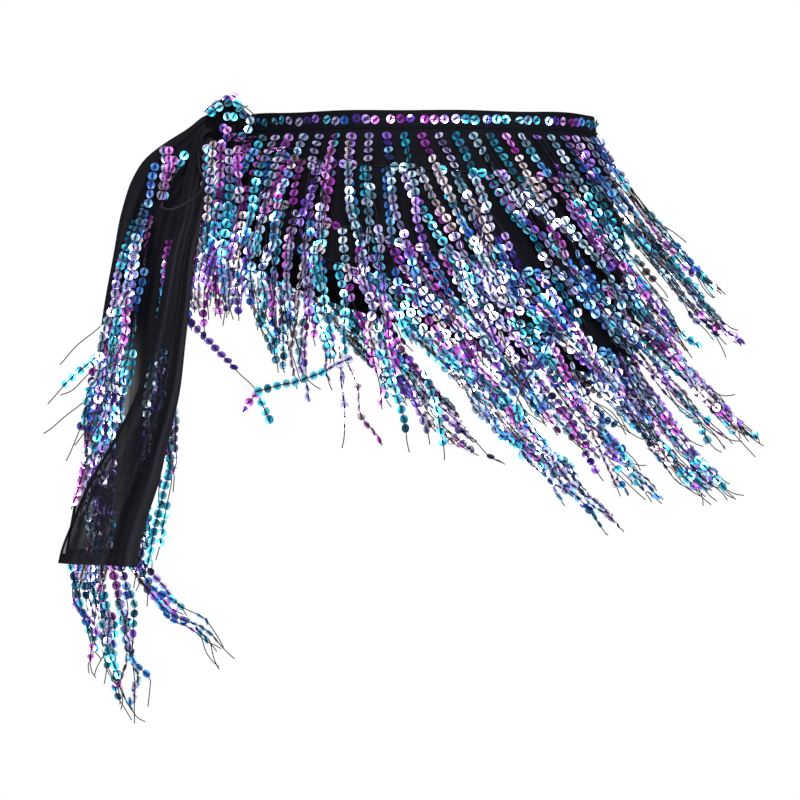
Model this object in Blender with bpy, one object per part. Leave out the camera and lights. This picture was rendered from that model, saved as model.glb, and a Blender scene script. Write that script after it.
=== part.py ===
"""Belly dance hip scarf, tied at the wearer's right hip, swung towards the wearer's left.

Metres, +Z up. The front of the wearer faces -Y and the wearer's left is +X. The origin is the
middle of the ring that the waistband makes, halfway up the band. Angles round the ring are in
degrees from the front, growing towards the wearer's left; depths are measured down from the origin.
"""

import math

import bmesh
import bpy
import numpy as np

# Seams and seats
GAP = 0.0003
CHIFFON = 0.0015

# The general figure that the scarf is wrapped on, as half axes of an ellipse at two heights
BAND_HALF_WIDTH = 0.132
BAND_HALF_DEPTH = 0.097
HIP_HALF_WIDTH = 0.176
HIP_HALF_DEPTH = 0.117
HIP_DROP = 0.176
HIP_SHIFT = -0.015
EASE = 0.001

# Waistband
BAND_HEIGHT = 0.014
BAND_THICK = 0.0025
BAND_COLUMNS = 54

# Knot
KNOT_ANGLE = -78.0
KNOT_HALF_ANGLE = 7.6
KNOT_OUT = 0.0160
KNOT_RISE = 0.001
KNOT_HALF_LONG = 0.020
KNOT_HALF_DEEP = 0.0160
KNOT_HALF_TALL = 0.017
KNOT_LUMP = 0.07
KNOT_AROUND = 20
KNOT_RINGS = 12
WRAP_WIDE = 0.011
WRAP_THICK = 0.0035
WRAP_TILT = 28.0
WRAP_TURN = (8.0, 172.0)
WRAP_STEPS = 14
WRAP_NARROW = 0.55

# The wrap is folded about this angle: the back of the scarf mirrors its front
POINT_ANGLE = 100.0
WRAP_START = KNOT_ANGLE + KNOT_HALF_ANGLE
WRAP_END = 2 * POINT_ANGLE - WRAP_START

# Hip panel
PANEL_COLUMNS = 60
PANEL_ROWS = 8
CREASE_DEEP = 0.0015
CREASE_REACH = 55.0
CREASE_FANS = 1.5
HEM_WAVE = 0.0012
HEM_WAVES = 9
LOWER_EDGE = {
    "angle": (-70.4, -64, -58, -45, -25, 0, 28, 53, 75, 100),
    "depth": (0.022, 0.034, 0.052, 0.080, 0.108, 0.133, 0.160, 0.180, 0.190, 0.194),
}

# Fringe: a header strip and strands of sequins threaded on it
STRIP_TALL = 0.0045
STRIP_THICK = 0.0015
SEAT = 0.0006
ROOT_SHARE = 0.5
STRAND_WIDE = 0.0050
STRAND_TIP = 0.0034
STRAND_DEEP = 0.0018
STAGGER = 0.0012
RISE_OVER = 0.060
FREE_FROM = -0.3
FREE_AT = 0.5
FREE_LEAST = 0.35
LEAVE = 0.8
RING_AT = (0.14, 0.38, 0.68, 1.0)
TIP_SWAY = 0.0012
LENGTH_JITTER = 0.06
BACK_FROM = 150.0
BACK_FULL = 195.0

# One table a row. start: first angle; pitch: strand spacing along the header; layer: how far out its
# strands lie; tuck: how fast they close in past the hip; shorter: by what share its strands are
# shorter on the back. Then, by angle: depth of the header, strand length, and lean towards the
# wearer's left at root and tip, in degrees.
FRINGE_ROWS = (
    {
        "name": "fringe_row_1", "start": -65, "pitch": 0.0145, "layer": 0.0262, "tuck": 0.60,
        "shorter": 0.0, "seed": 11,
        "angle": (-70, -40, -20, 0, 20, 40, 60, 80, 100),
        "depth": (0.0105, 0.0105, 0.0105, 0.0105, 0.0105, 0.0105, 0.0105, 0.0105, 0.0105),
        "length": (0.130, 0.135, 0.140, 0.145, 0.148, 0.150, 0.150, 0.146, 0.144),
        "lean": (0, 2, 5, 22, 28, 30, 31, 29, 28),
        "lean_tip": (-1, 3, 9, 30, 37, 40, 42, 42, 42),
    },
    {
        "name": "fringe_row_2", "start": -62, "pitch": 0.0150, "layer": 0.0199, "tuck": 0.72,
        "shorter": 0.0, "seed": 22,
        "angle": (-65, -40, -20, 0, 20, 40, 60, 80, 100),
        "depth": (0.022, 0.028, 0.034, 0.037, 0.041, 0.0425, 0.043, 0.043, 0.043),
        "length": (0.122, 0.134, 0.145, 0.150, 0.150, 0.150, 0.155, 0.160, 0.160),
        "lean": (0, 2, 8, 22, 28, 31, 32, 31, 30),
        "lean_tip": (-1, 4, 14, 31, 38, 41, 43, 43, 43),
    },
    {
        "name": "fringe_row_3", "start": -44, "pitch": 0.0150, "layer": 0.0145, "tuck": 0.83,
        "shorter": 0.2, "seed": 33,
        "angle": (-45, -30, -20, 0, 15, 28, 50, 75, 100),
        "depth": (0.056, 0.070, 0.080, 0.095, 0.105, 0.113, 0.122, 0.126, 0.128),
        "length": (0.100, 0.122, 0.155, 0.165, 0.165, 0.165, 0.160, 0.155, 0.154),
        "lean": (2, 3, 8, 25, 31, 34, 35, 34, 33),
        "lean_tip": (3, 6, 14, 34, 39, 42, 45, 45, 45),
    },
    {
        "name": "fringe_row_4", "start": -29, "pitch": 0.0145, "layer": 0.0085, "tuck": 1.00,
        "shorter": 0.35, "seed": 44,
        "angle": (-30, -19, -14.5, 0, 12, 25, 40, 53, 100),
        "depth": (0.096, 0.107, 0.112, 0.126, 0.138, 0.150, 0.163, 0.173, 0.187),
        "length": (0.108, 0.126, 0.236, 0.260, 0.237, 0.190, 0.152, 0.138, 0.124),
        "lean": (5, 18, 36, 40, 38.5, 36, 32, 30, 30),
        "lean_tip": (9, 25, 41, 44, 43.2, 42, 41, 41, 41),
    },
)

# Tie ends: one column a section, from the knot down; "at" names the section by about its depth.
# Each is a folded sheet between an outer edge, at the wearer's right, and an inner one.
TAIL_COLUMNS = 16
TAIL_WALL = 0.0012
TAIL_DRIFT = 0.8
FRONT_TAIL = {
    "at": (0.015, 0.030, 0.046, 0.068, 0.099, 0.142, 0.169, 0.204, 0.248, 0.270, 0.306, 0.328, 0.339),
    "outer": (-.159, -.172, -.177, -.180, -.188, -.196, -.202, -.212, -.234, -.247, -.262, -.270, -.272),
    "outer_depth": (.0168, .030, .046, .068, .099, .142, .169, .204, .248, .270, .304, .325, .334),
    "inner": (-.141, -.155, -.160, -.163, -.169, -.173, -.176, -.180, -.190, -.195, -.206, -.211, -.212),
    "inner_depth": (.0168, .030, .046, .068, .099, .142, .169, .204, .248, .270, .305, .327, .337),
    "y": (-.026, -.042, -.058, -.074, -.086, -.092, -.094, -.095, -.096, -.096, -.096, -.096, -.096),
    "fold": (.003, .0033, .0035, .0038, .0042, .0048, .0054, .0062, .0074, .0080, .0086, .0088, .0088),
    "folds": 1.5,
    "phase": 0.35,
}
REAR_TAIL = {
    "at": (-.002, 0.012, 0.022, 0.034, 0.048, 0.069, 0.100, 0.145, 0.190, 0.240, 0.285, 0.318, 0.330),
    "outer": (-.1640, -.178, -.196, -.210, -.2195, -.228, -.235, -.243, -.248, -.256, -.264, -.270, -.272),
    "outer_depth": (-.006, .004, .015, .026, .040, .064, .100, .145, .190, .240, .285, .318, .330),
    "inner": (-.1640, -.164, -.1575, -.158, -.166, -.178, -.186, -.192, -.197, -.203, -.210, -.215, -.217),
    "inner_depth": (.010, .021, .031, .043, .056, .074, .100, .145, .190, .240, .285, .318, .330),
    "y": (-.028, -.024, -.018, -.012, -.006, .000, .004, .006, .006, .006, .006, .006, .006),
    "fold": (.0022, .0028, .0036, .0044, .0052, .0060, .0066, .0070, .0074, .0078, .0080, .0080, .0080),
    "folds": 1.5,
    "phase": 2.1,
}

# Fringe of the rear tie end. Two headers run down its front face, at a place across it (u) and
# between two depths; the third follows its end. Of the strands on the front, each pair lies over
# the pair below it, spread apart to both sides.
TAIL_STRIP_WIDE = 0.0040
TAIL_STRIP_SEAT = 0.0008
TAIL_ROOT_SHARE = 0.3
TAIL_STAND_OFF = 0.0060
TAIL_LAYER = 0.0027
FACE_FRINGES = (
    {
        "name": "rear_tail_fringe_outer", "u": -0.375, "from": 0.050, "to": 0.250, "count": 14,
        "length": (0.165, 0.160, 0.140), "lean": (-12, -10, -5), "lean_tip": (-12, -9, -3),
        "spread": 0.004, "seed": 51,
    },
    {
        "name": "rear_tail_fringe_inner", "u": 0.75, "from": 0.085, "to": 0.245, "count": 9,
        "length": (0.150, 0.145, 0.130), "lean": (-3, -3, -2), "lean_tip": (-1, 0, 2),
        "spread": 0.0035, "seed": 52,
    },
)
END_FRINGE = {
    "name": "rear_tail_fringe_end", "count": 9,
    "length": (0.078, 0.124, 0.104), "lean": (4, 9, 38), "lean_tip": (5, 12, 52), "seed": 53,
}

# Colours, roughness
LOOKS = {
    "chiffon": ((0.012, 0.012, 0.014), 0.75),
    "sequins_teal": ((0.020, 0.300, 0.450), 0.25),
    "sequins_violet": ((0.200, 0.050, 0.400), 0.25),
    "sequins_silver": ((0.550, 0.520, 0.650), 0.25),
}


# ---------------------------------------------------------------- shape of the wrap


def folded(angle):
    """The angle on the front half that a place on the back mirrors."""
    return min(angle, 2 * POINT_ANGLE - angle)


def at_angle(table, column, angle):
    return float(np.interp(folded(angle), table["angle"], table[column]))


def figure(depth):
    """Half width, half depth and sideways shift of the general figure at a depth."""
    t = min(max(depth / HIP_DROP, 0.0), 1.0)
    ease = math.sin(t * math.pi / 2)
    wide = BAND_HALF_WIDTH + (HIP_HALF_WIDTH - BAND_HALF_WIDTH) * ease
    deep = BAND_HALF_DEPTH + (HIP_HALF_DEPTH - BAND_HALF_DEPTH) * ease
    return wide, deep, HIP_SHIFT * t


def outward(angle, depth):
    """The level direction away from the figure."""
    wide, deep, _ = figure(depth)
    a = math.radians(angle)
    n = np.array([math.sin(a) / wide, -math.cos(a) / deep, 0.0])
    return n / np.linalg.norm(n)


def on_figure(angle, depth, out):
    wide, deep, shift = figure(depth)
    a = math.radians(angle)
    base = np.array([shift + wide * math.sin(a), -deep * math.cos(a), -depth])
    return base + outward(angle, depth) * out


def crease(angle, share):
    """How far creases that fan out from the knot lift the panel, at a share of its depth."""
    near = math.exp(-(folded(angle) - WRAP_START) / CREASE_REACH)
    fan = math.sin(2 * math.pi * (CREASE_FANS * share + 0.12 * math.sin(math.radians(3 * angle))))
    wave = math.sin(math.radians(HEM_WAVES * angle) + 0.6 * math.sin(math.radians(4 * angle)))
    return CREASE_DEEP * (0.35 + near) * (0.5 + 0.5 * fan) + HEM_WAVE * share**2 * (0.5 + 0.5 * wave)


def panel_top():
    return BAND_HEIGHT / 2 + GAP


def panel_share(angle, depth):
    """How far down the panel a depth lies, as a share of the panel's height there."""
    return (depth - panel_top()) / (at_angle(LOWER_EDGE, "depth", angle) - panel_top())


def panel_grid():
    """The panel's outer points: a list of rows, each from the knot round to the knot."""
    rows = []
    for i in range(PANEL_ROWS + 1):
        share = i / PANEL_ROWS
        row = []
        for angle in np.linspace(WRAP_START, WRAP_END, PANEL_COLUMNS + 1):
            depth = panel_top() + (at_angle(LOWER_EDGE, "depth", angle) - panel_top()) * share
            row.append(on_figure(angle, depth, EASE + CHIFFON + crease(angle, share)))
        rows.append(row)
    return rows


def on_panel(grid, angle, depth, out):
    """A point on the panel's own facets, moved out."""
    u = (angle - WRAP_START) / (WRAP_END - WRAP_START) * PANEL_COLUMNS
    v = panel_share(angle, depth) * PANEL_ROWS
    j = min(max(int(u), 0), PANEL_COLUMNS - 1)
    i = min(max(int(v), 0), PANEL_ROWS - 1)
    s, t = u - j, v - i
    upper = grid[i][j] * (1 - s) + grid[i][j + 1] * s
    lower = grid[i + 1][j] * (1 - s) + grid[i + 1][j + 1] * s
    return upper * (1 - t) + lower * t + outward(angle, depth) * out


# ---------------------------------------------------------------- meshes


def make_object(name, points, faces, look):
    mesh = bpy.data.meshes.new(name)
    mesh.from_pydata([tuple(p) for p in points], [], faces)
    bm = bmesh.new()
    bm.from_mesh(mesh)
    bmesh.ops.recalc_face_normals(bm, faces=bm.faces)
    bm.to_mesh(mesh)
    bm.free()
    mesh.shade_smooth()
    mesh.materials.append(material(look))
    obj = bpy.data.objects.new(name, mesh)
    bpy.context.scene.collection.objects.link(obj)
    return obj


def material(look):
    made = bpy.data.materials.get(look)
    if made:
        return made
    colour, rough = LOOKS[look]
    made = bpy.data.materials.new(look)
    made.use_nodes = True
    shader = made.node_tree.nodes["Principled BSDF"]
    shader.inputs["Base Color"].default_value = (*colour, 1.0)
    shader.inputs["Roughness"].default_value = rough
    made.diffuse_color = (*colour, 1.0)
    return made


def tube(name, rings, look):
    """A solid swept through rings of equally many points, closed at both ends."""
    n = len(rings[0])
    points = [p for ring in rings for p in ring]
    faces = [tuple(range(n)), tuple(range(len(points) - n, len(points)))]
    for i in range(len(rings) - 1):
        for k in range(n):
            a, b = i * n + k, i * n + (k + 1) % n
            faces.append((a, b, b + n, a + n))
    return make_object(name, points, faces, look)


def wall(name, outer, inner, look):
    """A sheet of cloth between two grids of points."""
    rows, columns = len(outer), len(outer[0])
    points = [p for row in outer for p in row] + [p for row in inner for p in row]
    half = rows * columns
    faces = []
    for i in range(rows - 1):
        for j in range(columns - 1):
            a = i * columns + j
            square = (a, a + 1, a + columns + 1, a + columns)
            faces += [square, tuple(k + half for k in reversed(square))]
    rim = [j for j in range(columns)]
    rim += [i * columns + columns - 1 for i in range(1, rows)]
    rim += [(rows - 1) * columns + j for j in range(columns - 2, -1, -1)]
    rim += [i * columns for i in range(rows - 2, 0, -1)]
    for a, b in zip(rim, rim[1:] + rim[:1]):
        faces.append((a, b, b + half, a + half))
    return make_object(name, points, faces, look)


# ---------------------------------------------------------------- waistband, panel and knot


def make_waistband():
    """A folded strip: a section with rounded edges, swept round the ring from knot to knot."""
    half = BAND_HEIGHT / 2
    section = (
        (half, 0.35), (0.6 * half, 0.95), (-0.6 * half, 1.0), (-half, 0.6), (-half, 0.0), (0.7 * half, 0.0),
    )
    rings = []
    for angle in np.linspace(WRAP_START, WRAP_END, BAND_COLUMNS + 1):
        ring = []
        for up, share in section:
            flat = on_figure(angle, 0.0, EASE + BAND_THICK * share)
            ring.append(flat + np.array([0.0, 0.0, up]))
        rings.append(ring)
    return tube("waistband", rings, "chiffon")


def make_panel(grid):
    inner = []
    for row in grid:
        moved = []
        for j, p in enumerate(row):
            angle = WRAP_START + (WRAP_END - WRAP_START) * j / PANEL_COLUMNS
            moved.append(p - outward(angle, -p[2]) * CHIFFON)
        inner.append(moved)
    return wall("hip_panel", grid, inner, "chiffon")


def knot_frame():
    """Middle of the knot, and its level, outward and upward directions."""
    out = outward(KNOT_ANGLE, 0.0)
    middle = on_figure(KNOT_ANGLE, 0.0, KNOT_OUT) + np.array([0.0, 0.0, KNOT_RISE])
    up = np.array([0.0, 0.0, 1.0])
    return middle, np.cross(up, out), out, up


def knot_point(lon, lat, extra):
    """A point of the knot's lumpy round body; lon turns about its level axis."""
    middle, along, out, up = knot_frame()
    lump = 1 + KNOT_LUMP * math.sin(3 * lon + 2 * lat) * math.cos(lat)
    x = math.sin(lat) * (KNOT_HALF_LONG + extra)
    y = math.cos(lat) * math.sin(lon) * (KNOT_HALF_DEEP * lump + extra)
    z = math.cos(lat) * math.cos(lon) * (KNOT_HALF_TALL * lump + extra)
    return middle + along * x + out * y + up * z


def make_knot_core():
    points = [knot_point(0, -math.pi / 2, 0)]
    for i in range(1, KNOT_RINGS):
        lat = -math.pi / 2 + math.pi * i / KNOT_RINGS
        points += [knot_point(2 * math.pi * k / KNOT_AROUND, lat, 0) for k in range(KNOT_AROUND)]
    points.append(knot_point(0, math.pi / 2, 0))
    last = len(points) - 1
    faces = []
    for k in range(KNOT_AROUND):
        n = (k + 1) % KNOT_AROUND
        faces.append((0, 1 + k, 1 + n))
        faces.append((last, last - KNOT_AROUND + n, last - KNOT_AROUND + k))
        for i in range(KNOT_RINGS - 2):
            a, b = 1 + i * KNOT_AROUND + k, 1 + i * KNOT_AROUND + n
            faces.append((a, b, b + KNOT_AROUND, a + KNOT_AROUND))
    return make_object("knot_core", points, faces, "chiffon")


def make_knot_wrap():
    """The strand that crosses the knot's outer side from above to below, flattened on it."""
    tilt = math.radians(WRAP_TILT)
    rings = []
    for t in np.linspace(0, 1, WRAP_STEPS + 1):
        lon = math.radians(WRAP_TURN[0] + (WRAP_TURN[1] - WRAP_TURN[0]) * t)
        lean = tilt * math.cos(lon)
        taper = WRAP_NARROW + (1 - WRAP_NARROW) * math.sin(math.pi * t)
        half = WRAP_WIDE / 2 * taper / KNOT_HALF_LONG
        ring = []
        for side, lift in ((-1, 0.0), (-0.7, 0.8), (0.0, 1.0), (0.7, 0.8), (1, 0.0), (0.0, 0.0)):
            extra = SEAT + WRAP_THICK * lift * taper
            ring.append(knot_point(lon, lean + side * half, extra))
        rings.append(ring)
    return tube("knot_wrap", rings, "chiffon")


# ---------------------------------------------------------------- fringe


def strand_rings(root, path, outside):
    """Sections down a path, in the order outer-left, outer-right, inner-right, inner-left."""
    sideways = (root[1] + root[2] - root[0] - root[3]) / 2
    rings = []
    for k in range(1, len(path)):
        ahead = path[min(k + 1, len(path) - 1)] - path[k - 1]
        ahead = ahead / np.linalg.norm(ahead)
        wide = np.cross(outside, ahead)
        wide = wide * math.copysign(1.0, wide.dot(sideways)) / np.linalg.norm(wide)
        deep = np.cross(ahead, wide)
        if deep.dot(outside) < 0:
            deep = -deep
        share = k / (len(path) - 1)
        w = wide * (STRAND_WIDE + (STRAND_TIP - STRAND_WIDE) * share) / 2
        d = deep * STRAND_DEEP / 2
        c = path[k]
        rings.append([c - w + d, c + w + d, c + w - d, c - w - d])
    return rings


def make_fringe(name, stations, root_side, strands, look):
    """A header strip through its stations, with a strand growing from every other length of it.

    Strand i leaves the strip's face between points root_side of stations 2 i + 1 and 2 i + 2. Each
    strand is (path, outside, across): across is True where the strip itself runs across the strand.
    """
    n = len(stations[0])
    points = [p for station in stations for p in station]
    last = n * (len(stations) - 1)
    faces = [tuple(range(n)), tuple(range(last, last + n))]
    first, second = root_side
    for i in range(len(stations) - 1):
        for k in range(n):
            if i % 2 == 0 or k != first:
                a, b = i * n + k, i * n + (k + 1) % n
                faces.append((a, b, b + n, a + n))
    for i, (path, outside, across) in enumerate(strands):
        a, b = n * (2 * i + 1), n * (2 * i + 2)
        below = [a + first, b + first, b + second, a + second]
        if not across:
            below = [a + first, a + second, b + second, b + first]
        for ring in strand_rings([points[k] for k in below], path, outside):
            here = list(range(len(points), len(points) + 4))
            points += ring
            for k in range(4):
                m = (k + 1) % 4
                faces.append((below[k], below[m], here[m], here[k]))
            below = here
        faces.append(tuple(below))
    return make_object(name, points, faces, look)


def swung(length, lean, lean_tip):
    """How far sideways and down a strand has gone at each of its sections."""
    steps = 40
    shares = np.linspace(0, 1, steps + 1)
    tilt = np.radians(lean + (lean_tip - lean) * shares)
    run = np.concatenate([[0], np.cumsum(np.sin(tilt[1:]))]) * length / steps
    fall = np.concatenate([[0], np.cumsum(np.cos(tilt[1:]))]) * length / steps
    return [(np.interp(at, shares, run), np.interp(at, shares, fall)) for at in RING_AT]


def strand_angles(table):
    """The angle of each strand of a row, evenly spaced along the cloth."""
    fine = np.linspace(table["start"], 2 * POINT_ANGLE - table["start"], 721)
    line = np.array([on_figure(a, at_angle(table, "depth", a), 0.0) for a in fine])
    run = np.concatenate([[0], np.cumsum(np.linalg.norm(np.diff(line, axis=0), axis=1))])
    count = round(run[-1] / table["pitch"])
    return np.interp((np.arange(count) + 0.5) * run[-1] / count, run, fine)


def skirt_y(x, depth, out, tuck):
    """How far forward the layer of a row lies at a place, running on past the hip in a smooth tail."""
    wide, deep, shift = figure(depth)
    u = (x - shift) / (wide + out)
    if u <= LEAVE:
        return (deep + out) * math.sqrt(max(1 - u * u, 0.0025))
    level = math.sqrt(1 - LEAVE * LEAVE)
    return (deep + out) * level * math.exp(-tuck * LEAVE / level**2 * (u - LEAVE))


def strand_length(table, angle):
    back = min(max((angle - BACK_FROM) / (BACK_FULL - BACK_FROM), 0.0), 1.0)
    return at_angle(table, "length", angle) * (1 - table["shorter"] * back)


def hang(root, angle, swing, first, out, tuck):
    """Points down a strand that swings towards +X, from first to its row's layer out of the figure."""
    side = math.sin(math.radians(angle))
    free = FREE_LEAST + (1 - FREE_LEAST) * min(max((side - FREE_FROM) / (FREE_AT - FREE_FROM), 0.0), 1.0)
    scale = math.copysign(1.0, root[1])
    if side > LEAVE:
        scale = root[1] / skirt_y(root[0], -root[2], first, tuck)
    points = [root]
    for run, fall in swing:
        depth = fall - root[2]
        rise = math.sin(min(fall / RISE_OVER, 1.0) * math.pi / 2)
        far = first + (out - first) * rise
        wide, _, shift = figure(depth)
        held = shift + (wide + far) * side
        x = run + free * root[0] + (1 - free) * held
        points.append(np.array([x, scale * skirt_y(x, depth, far, tuck), -depth]))
    return points


def row_station(grid, angle, depth):
    """The wedge section of a header strip on the panel: its top, lower outer and lower inner point."""
    top = on_panel(grid, angle, depth - STRIP_TALL / 2, SEAT + STRIP_THICK / 2)
    low = depth + STRIP_TALL / 2
    return [top, on_panel(grid, angle, low, SEAT + STRIP_THICK), on_panel(grid, angle, low, SEAT)]


def make_fringe_row(grid, table, look):
    random = np.random.default_rng(table["seed"])
    angles = strand_angles(table)
    half = [STRAND_WIDE / 2 / arc_per_degree(a, at_angle(table, "depth", a)) for a in angles]
    stops = [angles[0] - 2 * half[0]]
    for angle, h in zip(angles, half):
        stops += [angle - h, angle + h]
    stops.append(angles[-1] + 2 * half[-1])
    stations = [row_station(grid, a, at_angle(table, "depth", a)) for a in stops]
    strands = []
    for i, angle in enumerate(angles):
        a, b = stations[2 * i + 1], stations[2 * i + 2]
        root = (a[1] + a[2] + b[1] + b[2]) / 4
        length = strand_length(table, angle) * (1 + LENGTH_JITTER * random.uniform(-1, 1))
        sway = math.degrees(TIP_SWAY / length) * random.uniform(-1, 1)
        swing = swung(
            length, at_angle(table, "lean", angle) + sway, at_angle(table, "lean_tip", angle) + sway
        )
        first = EASE + CHIFFON + crease(angle, panel_share(angle, -root[2])) + SEAT + STRIP_THICK / 2
        out = table["layer"] + (STAGGER if i % 2 else -STAGGER)
        path = hang(root, angle, swing, first, out, table["tuck"])
        strands.append((path, outward(angle, -root[2]), True))
    return make_fringe(table["name"], stations, (1, 2), strands, look)


def arc_per_degree(angle, depth):
    step = on_figure(angle + 0.5, depth, 0.0) - on_figure(angle - 0.5, depth, 0.0)
    return float(np.linalg.norm(step))


# ---------------------------------------------------------------- tie ends


def tail_size(table, column, at):
    """A tie end's size at a section, on a smooth curve through the table."""
    places, sizes = table["at"], table[column]
    slopes = np.gradient(sizes, places)
    i = min(max(int(np.searchsorted(places, at)) - 1, 0), len(places) - 2)
    span = places[i + 1] - places[i]
    t = min(max((at - places[i]) / span, 0.0), 1.0)
    start = (1 + 2 * t) * sizes[i] + t * span * slopes[i]
    end = (3 - 2 * t) * sizes[i + 1] - (1 - t) * span * slopes[i + 1]
    return float((1 - t) ** 2 * start + t**2 * end)


def tail_point(table, at, u):
    """A point of a tie end's middle surface; u runs from -1 at its outer edge to 1 at its inner."""
    outer, inner, high, low, y, fold = (
        tail_size(table, k, at) for k in ("outer", "inner", "outer_depth", "inner_depth", "y", "fold")
    )
    share = (u + 1) / 2
    drift = table["phase"] + TAIL_DRIFT * at / table["at"][-1]
    wave = fold * math.sin(math.pi * table["folds"] * u + drift)
    return np.array([outer + (inner - outer) * share, y + wave, -high - (low - high) * share])


def tail_normal(table, at, u):
    """The way that the tie end's front faces."""
    e = 0.01
    across = tail_point(table, at, u + e) - tail_point(table, at, u - e)
    low = min(max(at, table["at"][0] + e / 10), table["at"][-1] - e / 10)
    down = tail_point(table, low + e / 10, u) - tail_point(table, low - e / 10, u)
    n = np.cross(across, down)
    n = n / np.linalg.norm(n)
    return n if n[1] < 0 else -n


def make_tail(name, table):
    front, back = [], []
    columns = np.linspace(-1, 1, TAIL_COLUMNS + 1)
    sections = np.arange(0, len(table["at"]) - 0.75, 0.5)
    for at in np.interp(sections, range(len(table["at"])), table["at"]):
        points = [tail_point(table, at, u) for u in columns]
        moves = [tail_normal(table, at, u) * TAIL_WALL / 2 for u in columns]
        front.append([p + m for p, m in zip(points, moves)])
        back.append([p - m for p, m in zip(points, moves)])
    return wall(name, front, back, "chiffon")


def strand_sizes(spec, share, random):
    length, lean, lean_tip = (
        float(np.interp(share, (0, 0.5, 1), spec[k])) for k in ("length", "lean", "lean_tip")
    )
    return length * (1 + LENGTH_JITTER * random.uniform(-1, 1)), lean, lean_tip


def strip_stops(count, share_wide):
    """Where a strip's stations lie along it: two for each strand, and one at each end."""
    stops = [0.0]
    for i in range(count):
        stops += [(i + 0.5 - share_wide / 2) / count, (i + 0.5 + share_wide / 2) / count]
    return stops + [1.0]


def face_station(spec, share):
    """The section of a header that runs down the rear tie end's front face."""
    depth = spec["from"] + (spec["to"] - spec["from"]) * share
    middle = tail_point(REAR_TAIL, depth, spec["u"])
    n = tail_normal(REAR_TAIL, depth, spec["u"])
    level = np.cross(n, np.array([0.0, 0.0, -1.0]))
    level = level / np.linalg.norm(level) * math.copysign(1.0, level[0])
    back = middle + n * (TAIL_WALL / 2 + TAIL_STRIP_SEAT)
    front = back + n * STRIP_THICK
    side = level * TAIL_STRIP_WIDE / 2
    return [front - side, front + side, back + side, back - side]


def make_face_fringe(spec, look):
    random = np.random.default_rng(spec["seed"])
    count = spec["count"]
    stations = [face_station(spec, share) for share in strip_stops(count, TAIL_ROOT_SHARE)]
    front = np.array([0.0, -1.0, 0.0])
    strands = []
    for i in range(count):
        a, b = stations[2 * i + 1], stations[2 * i + 2]
        root = (a[0] + a[1] + b[0] + b[1]) / 4
        length, lean, lean_tip = strand_sizes(spec, (i + 0.5) / count, random)
        path = [root]
        for run, fall in swung(length, lean, lean_tip):
            depth = fall - root[2]
            y, fold = tail_size(REAR_TAIL, "y", depth), tail_size(REAR_TAIL, "fold", depth)
            layer = TAIL_STAND_OFF + TAIL_LAYER * ((count - 1 - i) // 2)
            aside = spec["spread"] * (1 if i % 2 else -1)
            path.append(np.array([root[0] + run + aside, y - fold - layer, -depth]))
        strands.append((path, front, False))
    return make_fringe(spec["name"], stations, (0, 1), strands, look)


def end_station(share):
    """The section of the header along the rear tie end's lower edge."""
    u = -0.97 + 1.94 * share
    seat = tail_point(REAR_TAIL, REAR_TAIL["at"][-1], u)
    n = tail_normal(REAR_TAIL, REAR_TAIL["at"][-1], u)
    top = seat - np.array([0.0, 0.0, SEAT])
    low = top - np.array([0.0, 0.0, STRIP_TALL])
    return [top, low + n * STRIP_THICK / 2, low - n * STRIP_THICK / 2]


def make_end_fringe(spec, look):
    random = np.random.default_rng(spec["seed"])
    count = spec["count"]
    stations = [end_station(share) for share in strip_stops(count, ROOT_SHARE)]
    strands = []
    for i in range(count):
        a, b = stations[2 * i + 1], stations[2 * i + 2]
        root = (a[1] + a[2] + b[1] + b[2]) / 4
        length, lean, lean_tip = strand_sizes(spec, (i + 0.5) / count, random)
        path = [root]
        for run, fall in swung(length, lean, lean_tip):
            path.append(root + np.array([run, 0.0, -fall]))
        strands.append((path, a[1] - a[2], True))
    return make_fringe(spec["name"], stations, (1, 2), strands, look)


# ---------------------------------------------------------------- the scarf


def clear_scene():
    for obj in list(bpy.data.objects):
        bpy.data.objects.remove(obj)


def main():
    clear_scene()
    grid = panel_grid()
    make_waistband()
    make_panel(grid)
    make_knot_core()
    make_knot_wrap()
    make_tail("front_tail", FRONT_TAIL)
    make_tail("rear_tail", REAR_TAIL)
    looks = ("sequins_teal", "sequins_violet", "sequins_silver", "sequins_teal")
    for table, look in zip(FRINGE_ROWS, looks):
        make_fringe_row(grid, table, look)
    make_face_fringe(FACE_FRINGES[0], "sequins_teal")
    make_face_fringe(FACE_FRINGES[1], "sequins_violet")
    make_end_fringe(END_FRINGE, "sequins_silver")


main()
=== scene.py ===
"""Looks of the belly dance hip scarf: black chiffon, sequins, threads, camera and studio light.

Metres, +Z up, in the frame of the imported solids. The front of the wearer faces -Y and the wearer's
left is +X. Angles round the ring are in degrees from the front, growing towards the wearer's left;
depths are measured down from the origin, the middle of the waistband's ring.
"""

import math

import bpy
import numpy as np
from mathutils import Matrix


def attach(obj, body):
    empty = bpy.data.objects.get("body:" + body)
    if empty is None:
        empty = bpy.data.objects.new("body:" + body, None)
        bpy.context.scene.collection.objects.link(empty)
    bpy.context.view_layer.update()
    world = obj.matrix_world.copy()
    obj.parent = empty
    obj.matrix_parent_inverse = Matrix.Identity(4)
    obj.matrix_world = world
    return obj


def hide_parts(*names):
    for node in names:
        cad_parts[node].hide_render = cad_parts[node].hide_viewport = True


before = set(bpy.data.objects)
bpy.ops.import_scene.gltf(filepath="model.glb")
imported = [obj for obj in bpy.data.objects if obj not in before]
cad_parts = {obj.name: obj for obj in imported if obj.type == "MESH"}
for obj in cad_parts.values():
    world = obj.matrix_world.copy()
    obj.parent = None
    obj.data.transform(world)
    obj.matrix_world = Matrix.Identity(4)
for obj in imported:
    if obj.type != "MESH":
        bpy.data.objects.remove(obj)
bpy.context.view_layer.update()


# ---------------- small helpers


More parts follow.
